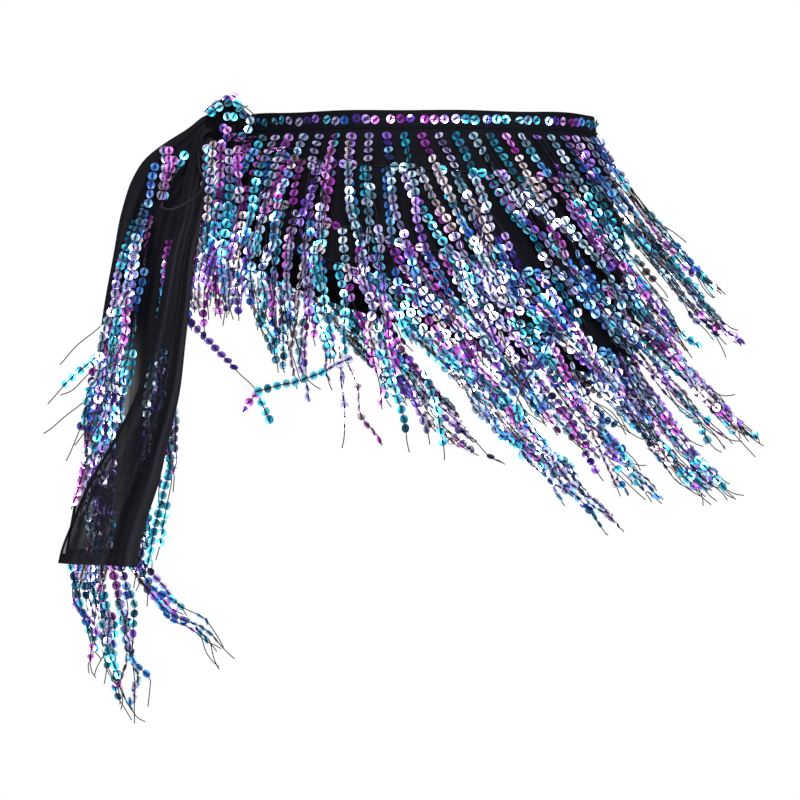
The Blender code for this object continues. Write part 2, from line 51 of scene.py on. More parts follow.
def named_rows(columns, *lines):
    """A table: one dict for each line, its values named by the columns."""
    return tuple(dict(zip(columns.split(), line)) for line in lines)


def clamp(value, low=0.0, high=1.0):
    return min(max(value, low), high)


def eased(share):
    """From 0 to 1, slower towards the end, where it stays."""
    return math.sin(min(share, 1.0) * math.pi / 2)


def smooth_step(values, low, high):
    t = np.clip((values - low) / (high - low), 0.0, 1.0)
    return t * t * (3 - 2 * t)


def unit(vectors):
    return vectors / np.linalg.norm(vectors, axis=1, keepdims=True)


def lengths_along(path):
    return np.concatenate([[0], np.cumsum(np.linalg.norm(np.diff(path, axis=0), axis=1))])


def at_lengths(path, run, places):
    return np.column_stack([np.interp(places, run, path[:, k]) for k in range(3)])


def soft_noise(values, seed, waves, low, high):
    """A smooth uneven wave from -1 to 1 along values, from a few random sines between two pitches."""
    random = np.random.default_rng(seed)
    total = np.zeros_like(np.asarray(values, float))
    for _ in range(waves):
        pitch = random.uniform(low, high)
        total += np.sin(2 * np.pi * (np.asarray(values) / pitch + random.random()))
    return total / waves**0.5


# ---------------- sizes shared with the solids

# The figure: half width and half depth at the band and at the hips; how far down and aside those are.
BAND_HALF_WIDTH = 0.132
BAND_HALF_DEPTH = 0.097
HIP_HALF_WIDTH = 0.176
HIP_HALF_DEPTH = 0.117
HIP_DROP = 0.176
HIP_SHIFT = -0.015
# Cloth: its thickness in the solids, how far it clears the figure, the band, and the seam below it.
CHIFFON = 0.0015
EASE = 0.001
BAND_HEIGHT = 0.014
BAND_THICK = 0.0025
GAP = 0.0003

# The knot, and the strand that wraps it: WRAP_TURN is where on the knot it starts and ends.
KNOT_ANGLE = -78.0
KNOT_HALF_ANGLE = 7.6
KNOT_OUT = 0.0160
KNOT_RISE = 0.001
KNOT_HALF_LONG = 0.020
KNOT_HALF_DEEP = 0.0160
KNOT_HALF_TALL = 0.017
KNOT_LUMP = 0.07
WRAP_WIDE = 0.011
WRAP_THICK = 0.0035
WRAP_TILT = 28.0
WRAP_TURN = (8.0, 172.0)
WRAP_NARROW = 0.55
WRAP_SUNK = 0.0042

# The panel: the back mirrors the front about POINT_ANGLE. Creases fan out from the knot.
POINT_ANGLE = 100.0
WRAP_START = KNOT_ANGLE + KNOT_HALF_ANGLE
WRAP_END = 2 * POINT_ANGLE - WRAP_START
CREASE_DEEP = 0.0015
CREASE_REACH = 55.0
CREASE_FANS = 1.5
HEM_WAVE = 0.0012
HEM_WAVES = 9
LOWER_EDGE = {
    "angle": (-70.4, -64, -58, -45, -25, 0, 28, 53, 75, 100),
    "depth": (0.022, 0.034, 0.052, 0.080, 0.108, 0.133, 0.160, 0.180, 0.190, 0.194),
}
# A row's header, and how its strings hang. They come out to their row's layer over RISE_OVER. By the
# sine of their angle they swing ever more freely from FREE_FROM to FREE_AT, and before that by
# FREE_LEAST. The back's get shorter between two angles. Past LEAVE, a share of the figure's half
# width, a layer stops following the figure and runs on in a tail.
STRIP_THICK = 0.0015
SEAT = 0.0006
RISE_OVER = 0.060
FREE_FROM = -0.3
FREE_AT = 0.5
FREE_LEAST = 0.35
BACK_FROM = 150.0
BACK_FULL = 195.0
LEAVE = 0.8

# One table a row. start: first angle; layer: how far out its strings lie; tuck: how fast they close
# in past the hip; shorter: by what share they are shorter on the back. By angle: depth of the header,
# string length, and lean towards the wearer's left at root and tip, in degrees. Then, for what shows
# here alone: strings in a bunch, with the first bunches given; which string leads a bunch; how far
# the rest draw in to it; how much strings stray, double up and hang bare; sequins in a run; and how
# far a string's small bends go.
FRINGE_ROWS = (
    {
        "node": "fringe_row_1", "start": -66, "layer": .0262, "tuck": .60, "shorter": .0,
        "angle": (-70, -40, -20, 0, 20, 40, 60, 80, 100),
        "depth": (.0105,) * 9,
        "length": (.130, .135, .140, .145, .148, .150, .150, .146, .144),
        "lean": (0, 2, 5, 22, 28, 30, 31, 29, 28),
        "lean_tip": (-1, 3, 9, 30, 37, 40, 43, 44, 44),
        "bunch": (2, 5), "groups": (), "lead": .5, "draw": .30, "stray": 1.6, "twins": .10,
        "bare": .42, "runs": (2, 7), "bend": .0032, "seed": 101, "slot": "sequins_teal",
    },
    {
        "node": "fringe_row_2", "start": -63, "layer": .0199, "tuck": .72, "shorter": .0,
        "angle": (-65, -40, -20, 0, 20, 40, 60, 80, 100),
        "depth": (.022, .028, .034, .037, .041, .0425, .043, .043, .043),
        "length": (.122, .134, .145, .150, .150, .150, .155, .157, .156),
        "lean": (0, 2, 8, 22, 28, 31, 32, 31, 30),
        "lean_tip": (-1, 4, 14, 31, 38, 41, 44, 44, 44),
        "bunch": (3, 6), "groups": (), "lead": .5, "draw": .55, "stray": 2.0, "twins": .40,
        "bare": .34, "runs": (2, 8), "bend": .0032, "seed": 102, "slot": "sequins_violet",
    },
    {
        "node": "fringe_row_3", "start": -45, "layer": .0145, "tuck": .83, "shorter": .2,
        "angle": (-45, -30, -20, 0, 15, 28, 50, 75, 100),
        "depth": (.056, .070, .080, .095, .105, .113, .122, .126, .128),
        "length": (.100, .122, .155, .165, .165, .165, .156, .147, .143),
        "lean": (2, 3, 8, 25, 31, 34, 35, 34, 33),
        "lean_tip": (3, 6, 14, 34, 39, 43, 46, 46, 46),
        "bunch": (3, 7), "groups": (), "lead": .5, "draw": .70, "stray": 1.8, "twins": .45,
        "bare": .30, "runs": (2, 8), "bend": .0032, "seed": 103, "slot": "sequins_silver",
    },
    {
        "node": "fringe_row_4", "start": -29, "layer": .0085, "tuck": 1.00, "shorter": .35,
        "angle": (-30, -19, -14.5, 0, 12, 25, 40, 53, 100),
        "depth": (.096, .107, .112, .126, .138, .150, .163, .173, .187),
        "length": (.108, .126, .236, .260, .237, .190, .152, .138, .124),
        "lean": (5, 18, 36, 40, 38.5, 36, 32, 30, 30),
        "lean_tip": (9, 25, 41, 44, 43.2, 43, 45, 46, 46),
        "bunch": (4, 8), "groups": (3, 9, 5), "lead": .3, "draw": .66, "stray": 1.0, "twins": .50,
        "bare": .30, "runs": (2, 8), "bend": .0032, "seed": 104, "slot": "sequins_teal",
    },
)

# Tie ends: one column a section, from inside the knot down; "at" names it by about its depth.
# Each is a folded sheet between an outer edge, at the wearer's right, and an inner one.
TAIL_DRIFT = 0.8
FRONT_TAIL = {
    "at": (.004, .015, .03, .046, .068, .099, .142, .169, .204, .248, .27, .306, .328, .339),
    "outer": (-.165, -.17, -.175, -.178, -.18, -.188, -.196, -.202, -.212, -.234, -.247, -.262, -.27,
        -.272),
    "outer_depth": (.006, .0168, .03, .046, .068, .099, .142, .169, .204, .248, .27, .304, .325, .334),
    "inner": (-.136, -.141, -.155, -.16, -.163, -.169, -.173, -.176, -.18, -.19, -.195, -.206, -.211,
        -.212),
    "inner_depth": (.006, .0168, .03, .046, .068, .099, .142, .169, .204, .248, .27, .305, .327, .337),
    "y": (-.022, -.026, -.042, -.058, -.074, -.086, -.092, -.094, -.095, -.096, -.096, -.096, -.096,
        -.096),
    "fold": (.0028, .003, .0033, .0035, .0038, .0042, .0048, .0054, .0062, .0074, .008, .0086, .0088,
        .0088),
    "folds": 1.5,
    "phase": .35,
}
REAR_TAIL = {
    "at": (-.016, -.002, .012, .022, .034, .048, .069, .1, .145, .19, .24, .285, .318, .33),
    "outer": (-.15, -.164, -.178, -.196, -.21, -.2195, -.228, -.235, -.243, -.248, -.256, -.264, -.27,
        -.272),
    "outer_depth": (-.008, -.006, .004, .015, .026, .04, .064, .1, .145, .19, .24, .285, .318, .33),
    "inner": (-.15, -.164, -.164, -.1575, -.158, -.166, -.178, -.186, -.192, -.197, -.203, -.21, -.215,
        -.217),
    "inner_depth": (.004, .01, .021, .031, .043, .056, .074, .1, .145, .19, .24, .285, .318, .33),
    "y": (-.029, -.028, -.024, -.018, -.012, -.006, 0.0, .004, .006, .006, .006, .006, .006, .006),
    "fold": (.0018, .0022, .0028, .0036, .0044, .0052, .006, .0066, .007, .0074, .0078, .008, .008, .008),
    "folds": 1.5,
    "phase": 2.1,
}

# Fringe on the rear tie end: two headers down its front face, and one along its end. u: how far across
# the tie end; from, to: depths of the header; cut: how unevenly its strings are cut; spread: how far
# aside they hang; depth: how far in front of the last one the first one hangs.
TAIL_STAND_OFF = 0.0088
FACE_ROOT = 0.0068
FACE_RISE = 0.030
FACE_SWAY = (2, 3)
FACE_FRINGES = (
    {
        "node": "rear_tail_fringe_outer", "slot": "sequins_teal", "u": -.375, "from": .062, "to": .250,
        "count": 30, "length": (.165, .160, .140), "cut": (.82, 1.04), "lean": (-12, -10, -5),
        "lean_tip": (-12, -9, -3), "spread": .009, "depth": .019, "bare": .22, "runs": (3, 9),
        "bend": .003, "seed": 151,
    },
    {
        "node": "rear_tail_fringe_inner", "slot": "sequins_violet", "u": .75, "from": .085, "to": .245,
        "count": 14, "length": (.150, .145, .130), "cut": (.82, 1.04), "lean": (-3, -3, -2),
        "lean_tip": (-1, 0, 2), "spread": .005, "depth": .012, "bare": .22, "runs": (3, 9),
        "bend": .003, "seed": 152,
    },
)
END_FRINGE = {
    "node": "rear_tail_fringe_end", "slot": "sequins_silver", "count": 24,
    "length": (.078, .124, .104), "cut": (.75, 1.03), "lean": (4, 9, 38), "lean_tip": (5, 12, 52),
    "bare": .5, "runs": (1, 6), "bend": .005, "seed": 153,
}
# Tufts of that fringe, left to right: where along the hem, and lean at root and tip; then how long a
# tuft's middle line is, and how far strings draw in to it. A string's lean at root and tip sways by
# END_SWAY degrees, and by FACE_SWAY down the face.
TUFTS = ((-0.75, 20, 10), (-0.05, 6, 12), (0.35, 2, 8), (0.85, 40, 56))
END_SWAY = (7, 9)
TUFT_LONG = 0.16
TUFT_DRAW = (0.45, 0.85)

# ---------------- sizes of what only shows here

# Cloth: one thin layer, with rolled and turned hems. The band's ends run on into the knot, by degrees,
# and the panel's top is sewn in under the band.
CLOTH = 0.0006
INTO_KNOT = 2.2
SEWN_IN = 0.0010
TOP_TUCK = 0.0022
HEM_NARROW = 0.004
HEM_WIDE = 0.0100
HEM_ROLL = 0.0006
HEM_ROLL_WIDE = 0.0022
ROLLED = 0.0016
WRAP_COLUMNS = 420
PANEL_ROWS = 60
TAIL_GRID = (120, 72)
# The band's section: shares of its half height up, and of its thickness out. Its lower edge is corded.
BAND_SECTION = (
    (1.00, 0.30), (0.97, 0.62), (0.80, 0.84), (0.50, 0.92), (0.20, 0.96), (-0.10, 0.96), (-0.40, 0.92),
    (-0.62, 0.84), (-0.74, 0.80), (-0.82, 1.05), (-0.92, 1.12), (-1.00, 0.95), (-1.02, 0.50),
    (-0.98, 0.05), (-0.50, 0.02), (0.00, 0.0), (0.50, 0.02), (0.94, 0.06),
)
BAND_GATHER = 0.00028
BAND_SWAY = 0.00035
# Crinkles of the panel: height, and how many in a full turn; and how many degrees they run aside.
CRINKLES = ((0.00035, 11.0), (0.00022, 23.0))
CRINKLE_DRAG = 34
# Pleats of a tie end: height, how many, place, drift on the way down, and the share kept below.
FRONT_PLEATS = ((0.0016, 3.3, 0.4, 1.2, 0.35), (0.0010, 6.1, 1.9, -1.5, 0.12),
                (0.0005, 11.0, 0.2, 2.0, 0.1))
REAR_PLEATS = ((0.0022, 2.9, 2.2, 1.4, 0.3), (0.0013, 5.3, 0.9, -1.8, 0.1), (0.0006, 9.0, 2.0, 2.0, 0.1))
PLEAT_FADE = 0.16
KNOT_TROUGH = 0.0042
KNOT_MINOR = 0.0003
TAIL_HALF_WIDE = 0.043
# From where to where a tie end's outer side opens to a single layer, down it and across it.
SINGLE_DOWN = (0.42, 0.80)
SINGLE_ASIDE = (-0.60, 0.30)

# Sequins: a cupped disc, flat in the middle, crossed by its stitch; painted shade darkens its rim.
SEQUIN = 0.0068
SEQUIN_THICK = 0.00015
SEQUIN_CUP = 0.00035
SEQUIN_FLAT = 0.56
SEQUIN_SIDES = 12
RIM_SHADE = 0.72
STITCH_WIDE = 0.0018
STITCH_LONG = 0.0064
STITCH_TALL = 0.0010
SEQUIN_SPREAD = (0.95, 1.04)
SEQUIN_RISE = 0.0004
# Painted light: how brightly each sequin is painted as lit, up to a near-white painted glint, as a
# log-normal
# mean and spread within limits, and how deep its colour, paler the brighter its painted light.
PAINTED_LIGHT_SPREAD = (0.20, 0.50)
PAINTED_LIGHT_LIMITS = (0.40, 2.1)
COLOUR_DEPTH = (0.5, 2.0)
DEEPEST = (0.35, 2.2)
# How sequins follow one another: pitch, lap over the next and twist round the thread, in degrees, and
# the empty stretches between runs.
SEQUIN_PITCH = 0.0073
SEQUIN_LAP = 6.0
LAP_SPREAD = 7
PITCH_SPREAD = (0.92, 1.08)
TWIST = 30.0
RUN_TURN = 8
TWIST_SPREAD = 10
NEAR_CHANCE = 0.6
SPIN = (0.0, 10.0)
BARE_STRETCH = (0.006, 0.026)
# The sequins along a row's header: how high over it they lie, their thread, and how they follow one
# another.
HEADER_LIFT = 0.0016
HEADER_RADIUS = 0.00048
HEADER_BARE = 0.9
HEADER_RUNS = (1, 4)
HEADER_TWIST = 0.5
HEADER_LAP = 4
# The band's own sequins, which face more to the front, and their hues, group by group.
BAND_SEED = 77
BAND_PITCH = 0.0073
BAND_PITCH_SPREAD = (0.96, 1.04)
BAND_GAP = (0.0010, 0.0055)
BAND_LIFT = 0.0007
BAND_WANDER = 0.0007
BAND_ENDS = (0.005, 0.020)
BAND_TWIST = 9
BAND_LAP = 8
BAND_SPIN = (50.0, 22.0)
FACE_FRONT = 2.6
BAND_HUES = (
    "teal blue teal", "teal teal lilac", "lilac violet violet", "teal lilac blue",
    "violet violet magenta", "magenta magenta violet", "magenta magenta violet", "lilac teal teal",
    "blue teal teal", "teal blue teal", "blue violet magenta", "magenta violet blue",
)

# Strings: thread, pitch, steps down each, the pitches of small bends, and the bare end.
THREAD = 0.00080
STRING_PITCH = 0.0126
STRING_STEPS = 26
LONG_BEND = (0.05, 0.11)
SHORT_BEND = (0.025, 0.05)
BARE_END = (0.003, 0.018)
# Bunches: they have drawn in by BUNCH_BY, and each has up to BARE_THREADS threads that have lost their
# sequins, but for up to BARE_LEFT. LOOSE: by angle, how loose the strings hang, neat at the front.
BUNCH_BY = 0.095
SPINE_LONG = 1.25
DRAW_SPREAD = (0.7, 1.15)
DRAW_MOST = 0.9
LENGTH_SPREAD = (0.84, 1.03)
LAYER_SPREAD = 0.0025
TWIN_APART = 1.2
TWIN_SHORTER = 0.18
BARE_THREADS = 2
BARE_LENGTH = (0.9, 1.08)
BARE_LAYER = 0.003
BARE_BEND = 0.004
BARE_LEFT = 3
BARE_TIP = 0.004
BARE_TWIST = 45
LOOSE = ((0.0, 45.0), (0.15, 1.0))
ENDS_IN = 0.003
# The strings that stray: steps, how fast they close in past the hip, and where sequins start.
STRAY_STEPS = 28
STRAY_TUCK = 0.8
STRAY_FROM = 0.002
STRAY_BARE = 0.2
STRAY_RUNS = (2, 6)
FRONT = np.array([0.0, -1.0, 0.0])

# Sequin colours: the darker and the lighter shade that each shows as it catches the light, and how
# common it is. NEAR_HUES: what may follow it along a string.
HUES = {
    "teal": ((.001, .035, .085), (.045, .710, .900), .26),
    "blue": ((.002, .014, .100), (.045, .340, .880), .12),
    "violet": ((.014, .004, .080), (.430, .210, .920), .15),
    "magenta": ((.050, .002, .070), (.800, .185, .860), .15),
    "lilac": ((.030, .030, .160), (.760, .760, 1.0), .12),
    "ice": ((.008, .060, .130), (.640, .930, 1.0), .10),
    "cream": ((.110, .070, .110), (1.0, .920, .880), .08),
    "clear": ((.006, .030, .070), (.300, .620, .860), .04),
}
NEAR_HUES = {
    "teal": "blue ice teal",
    "blue": "teal violet clear",
    "violet": "magenta blue lilac",
    "magenta": "violet lilac magenta",
    "lilac": "cream violet ice",
    "ice": "teal lilac cream",
    "cream": "lilac ice magenta",
    "clear": "lilac blue violet",
}

# Strings that stray across the rest. path: places across and down the front, in metres; ahead: how
# far in front of the panel they lie; sewn: the share of the string that carries sequins.
STRAYS = named_rows(
    "path ahead sewn hues",
    (((-.18, .145), (-.165, .16), (-.149, .176), (-.133, .192), (-.121, .206)), .03, .75,
     "cream lilac violet"),
    (((-.121, .205), (-.118, .214), (-.112, .228)), .029, 1.0, "teal"),
    (((-.121, .206), (-.127, .213), (-.132, .222)), .031, 1.0, "magenta violet"),
    (((-.122, .205), (-.104, .2), (-.085, .196), (-.066, .188), (-.052, .18)), .032, 1.0,
     "violet cream teal lilac"),
    (((-.06, .17), (-.058, .195), (-.056, .222), (-.058, .247)), .03, .8, "lilac cream"),
    (((-.03, .175), (-.018, .205), (-.01, .23), (-.007, .25)), .029, .85, "teal cream"),
    (((.004, .19), (.012, .215), (.016, .236), (.017, .256)), .028, .9, "blue teal"),
    (((.098, .165), (.09, .182), (.08, .196), (.072, .212), (.074, .228)), .032, 1.0, "teal blue"),
    (((.05, .12), (.056, .135), (.068, .142), (.085, .146)), .034, .9, "lilac cream clear"),
    (((.13, .235), (.142, .262), (.15, .28), (.152, .284)), .022, .9, "lilac cream"),
    (((.175, .073), (.188, .08), (.198, .088), (.203, .092)), .02, 0.0, "violet"),
)
# Strings that hang from the knot beside the front tie end.
KNOT_STRINGS = named_rows(
    "path ahead sewn hues",
    (((-.1617, .018), (-.164, .061), (-.1656, .099), (-.1663, .138)), .02, .93, "violet lilac clear"),
    (((-.1563, .0154), (-.1586, .049), (-.1617, .088), (-.1648, .126), (-.1656, .148)), .027, .95,
     "cream lilac teal"),
    (((-.15, .0185), (-.1517, .057), (-.1555, .0955), (-.1579, .151)), .025, .93, "cream lilac magenta"),
    (((-.144, .0216), (-.144, .061), (-.147, .103), (-.1486, .1555)), .027, .9, "teal blue lilac"),
    (((-.1378, .02), (-.1363, .0647), (-.1409, .107), (-.1425, .151)), .026, .95, "violet magenta lilac"),
    (((-.1532, .017), (-.147, .076), (-.1517, .134)), .022, .9, "blue violet teal"),
    (((-.16, .02), (-.1575, .07), (-.161, .12), (-.16, .143)), .023, .9, "blue clear teal"),
    (((-.1463, .0054), (-.1424, .0108), (-.13, .0185), (-.1209, .0208), (-.0916, .0262)), .027, 1.0,
     "violet magenta"),
)
# Sequins bunched up over the knot, where the headers end, on strings in front of it.
KNOT_CLUSTER = named_rows(
    "path y sewn hues",
    (((-.16, -.007), (-.1517, -.0123), (-.1432, -.0154), (-.1348, -.0139), (-.127, -.0085),
     (-.124, -.0046)), -.047, 1.0, "teal lilac cream"),
    (((-.147, -.0062), (-.1432, -.0015), (-.1378, -.0085), (-.13, -.0123)), -.05, 1.0, "teal blue lilac"),
    (((-.1486, -.017), (-.1432, -.0216), (-.1378, -.0177)), -.036, 1.0, "magenta violet"),
    (((-.1632, -.0095), (-.158, -.014), (-.15, -.0175)), -.04, 1.0, "cream lilac"),
    (((-.15, .003), (-.146, .01), (-.151, .017)), -.052, 1.0, "violet magenta lilac"),
    (((-.1355, -.0075), (-.1285, -.002), (-.13, .006), (-.137, .013)), -.049, 1.0, "teal blue clear"),
)
# A tuft of sequins on the rear tie end's face, above its fringe, at a height over the cloth.
TUFT_STRINGS = named_rows(
    "path over sewn hues",
    (((-.1956, .0185), (-.194, .03), (-.197, .0454), (-.1994, .0608)), .0078, 1.0, "cream lilac"),
    (((-.191, .0185), (-.1917, .034), (-.1956, .0493)), .0092, 1.0, "violet magenta"),
    (((-.1786, .0223), (-.1856, .0354), (-.1917, .047), (-.197, .0593)), .0085, 1.0, "cream clear teal"),
    (((-.2017, .0308), (-.2056, .0454), (-.2087, .0608)), .0078, 1.0, "clear blue"),
    (((-.187, .026), (-.19, .0385), (-.195, .052), (-.1985, .067)), .0098, 1.0, "magenta blue violet"),
)
# Strings down both edges of the rear tie end, and strings and threads that fly off it; y: how far back.
FLYING = named_rows(
    "path y sewn hues",
    (((-.249, .18), (-.2525, .205), (-.2535, .232), (-.256, .262), (-.2635, .284), (-.2672, .295)), -.014,
     .97, "magenta cream teal ice"),
    (((-.196, .185), (-.189, .2148), (-.1895, .2341), (-.1885, .2572), (-.1895, .2818)), -.014, .97,
     "magenta cream lilac"),
    (((-.199, .225), (-.1905, .2572), (-.196, .2841), (-.204, .3149), (-.2115, .3434)), -.018, .96,
     "teal ice magenta"),
    (((-.201, .235), (-.19, .2649), (-.1925, .288), (-.1979, .3111), (-.2025, .3342)), -.012, .92,
     "teal cream"),
    (((-.2433, .154), (-.262, .17), (-.2764, .1833)), -.018, 0.0, "clear"),
    (((-.2364, .167), (-.256, .186), (-.27, .199), (-.2849, .214)), -.02, .7, "teal"),
    (((-.2379, .193), (-.249, .206), (-.268, .221), (-.2888, .236)), -.016, .35, "clear blue"),
    (((-.2456, .211), (-.256, .223), (-.263, .239), (-.271, .258)), -.012, .5, "clear blue"),
    (((-.24, .175), (-.252, .19), (-.264, .203), (-.274, .209)), -.022, .3, "violet lilac"),
)
# The loose thread: its radius, its steps, and its points: x, y and depth.
LOOSE_RADIUS = 0.00088
LOOSE_STEPS = 60
LOOSE_LOOP = (
    (-.168, -.050, .023), (-.167, -.062, .035), (-.163, -.074, .046), (-.167, -.088, .056),
    (-.177, -.098, .064), (-.187, -.104, .068), (-.195, -.104, .066),
)

# The scale of chiffon's weave, for threads 1.2 mm apart.
WEAVE_SCALE = 260.0
# The camera, and how wide its view is at the origin.
CAMERA_DISTANCE = 4.2
CAMERA_X = -0.0146
CAMERA_Z = -0.2112
VIEW_WIDE = 0.616
SENSOR = 36.0
# Lights: place, width and power in watts; the strength of the white all round; and the floor.
LIGHTS = {
    "key": ((-0.5, -3.3, 1.3), 0.8, 195),
    "fill": ((2.2, -2.6, 0.4), 1.4, 150),
    "flash": ((0.45, -3.9, 0.35), 0.4, 150),
    "back": ((-0.9, 3.0, 1.0), 1.6, 120),
}
LIGHT_AIM = (0.0, 0.0, -0.2)
AMBIENT = 0.26
FLOOR_DROP = 0.60
FLOOR_RADIUS = 1.0
FLOOR_SIDES = 96


# ---------------- shape of the wrap


def folded(angle):
    """The angle on the front half that a place on the back mirrors."""
    return min(angle, 2 * POINT_ANGLE - angle)


def at_angle(table, column, angle):
    return float(np.interp(folded(angle), table["angle"], table[column]))


def figure(depth):
    """Half width, half depth and sideways shift of the general figure at a depth."""
    t = clamp(depth / HIP_DROP)
    wide = BAND_HALF_WIDTH + (HIP_HALF_WIDTH - BAND_HALF_WIDTH) * eased(t)
    deep = BAND_HALF_DEPTH + (HIP_HALF_DEPTH - BAND_HALF_DEPTH) * eased(t)
    return wide, deep, HIP_SHIFT * t


def outward(angle, depth):
    """The level direction away from the figure."""
    wide, deep, _ = figure(depth)
    a = math.radians(angle)
    n = np.array([math.sin(a) / wide, -math.cos(a) / deep, 0.0])
    return n / np.linalg.norm(n)


def on_figure(angle, depth, out):
    wide, deep, shift = figure(depth)
    a = math.radians(angle)
    base = np.array([shift + wide * math.sin(a), -deep * math.cos(a), -depth])
    return base + outward(angle, depth) * out


def crease(angle, share):
    """How far creases that fan out from the knot lift the panel, at a share of its depth."""
    near = math.exp(-(folded(angle) - WRAP_START) / CREASE_REACH)
    fan = math.sin(2 * math.pi * (CREASE_FANS * share + 0.12 * math.sin(math.radians(3 * angle))))
    wave = math.sin(math.radians(HEM_WAVES * angle) + 0.6 * math.sin(math.radians(4 * angle)))
    return CREASE_DEEP * (0.35 + near) * (0.5 + 0.5 * fan) + HEM_WAVE * share**2 * (0.5 + 0.5 * wave)


def panel_top():
    return BAND_HEIGHT / 2 + GAP


def panel_share(angle, depth):
    """How far down the panel a depth lies, as a share of the panel's height there."""
    return (depth - panel_top()) / (at_angle(LOWER_EDGE, "depth", angle) - panel_top())


def tail_size(table, column, at):
    """A tie end's size at a section, or at many, on a smooth curve through the table."""
    places, sizes = np.array(table["at"]), np.array(table[column])
    slopes = np.gradient(sizes, places)
    i = np.clip(np.searchsorted(places, at) - 1, 0, len(places) - 2)
    span = places[i + 1] - places[i]
    t = np.clip((at - places[i]) / span, 0.0, 1.0)
    start = (1 + 2 * t) * sizes[i] + t * span * slopes[i]
    end = (3 - 2 * t) * sizes[i + 1] - (1 - t) * span * slopes[i + 1]
    return (1 - t) ** 2 * start + t**2 * end


def tail_point(table, at, u):
    """Points of a tie end's middle surface; u runs from -1 at its outer edge to 1 at its inner."""
    outer, inner, high, low, y, fold = (
        tail_size(table, k, at) for k in ("outer", "inner", "outer_depth", "inner_depth", "y", "fold")
    )
    share = (u + 1) / 2
    drift = table["phase"] + TAIL_DRIFT * at / table["at"][-1]
    wave = fold * np.sin(np.pi * table["folds"] * u + drift)
    return np.stack([outer + (inner - outer) * share, y + wave, -high - (low - high) * share], axis=-1)


def tail_face(depth):
    """How far back the front of the rear tie end's pleats lies."""
    return tail_size(REAR_TAIL, "y", depth) - tail_size(REAR_TAIL, "fold", depth)


def skirt_y(x, depth, out, tuck):
    """How far forward the layer of a row lies at a place, running on past the hip in a smooth tail."""
    wide, deep, shift = figure(depth)
    u = (x - shift) / (wide + out)
    if abs(u) <= LEAVE:
        return (deep + out) * math.sqrt(1 - u * u)
    level = math.sqrt(1 - LEAVE * LEAVE)
    return (deep + out) * level * math.exp(-tuck * LEAVE / level**2 * (abs(u) - LEAVE))


def full_length(table, angle):
    """The length of a row's strings at an angle."""
    back = clamp((angle - BACK_FROM) / (BACK_FULL - BACK_FROM))
    return at_angle(table, "length", angle) * (1 - table["shorter"] * back)


def swung(length, lean, lean_tip, steps):
    """How far sideways and down a string has gone at each of its steps."""
    tilt = np.radians(lean + (lean_tip - lean) * np.linspace(0, 1, steps + 1)[1:])
    run = np.cumsum(np.sin(tilt)) * length / steps
    fall = np.cumsum(np.cos(tilt)) * length / steps
    return list(zip(run, fall))


def hang(root, angle, swing, first, out, tuck):
    """Points down a string that swings towards +X, from first to its row's layer out of the figure."""
    side = math.sin(math.radians(angle))
    free = FREE_LEAST + (1 - FREE_LEAST) * clamp((side - FREE_FROM) / (FREE_AT - FREE_FROM))
    scale = math.copysign(1.0, root[1])
    if side > LEAVE:
        scale = root[1] / skirt_y(root[0], -root[2], first, tuck)
    points = [root]
    for run, fall in swing:
        depth = fall - root[2]
        far = first + (out - first) * eased(fall / RISE_OVER)
        wide, _, shift = figure(depth)
        held = shift + (wide + far) * side
        x = run + free * root[0] + (1 - free) * held
        points.append(np.array([x, scale * skirt_y(x, depth, far, tuck), -depth]))
    return np.array(points)


# ---------------- meshes

# A direction along which no path here runs, to turn a tube's sides by.
NO_PATH_RUNS = np.array([0.123, -0.976, 0.181])
SHARP = math.radians(50)


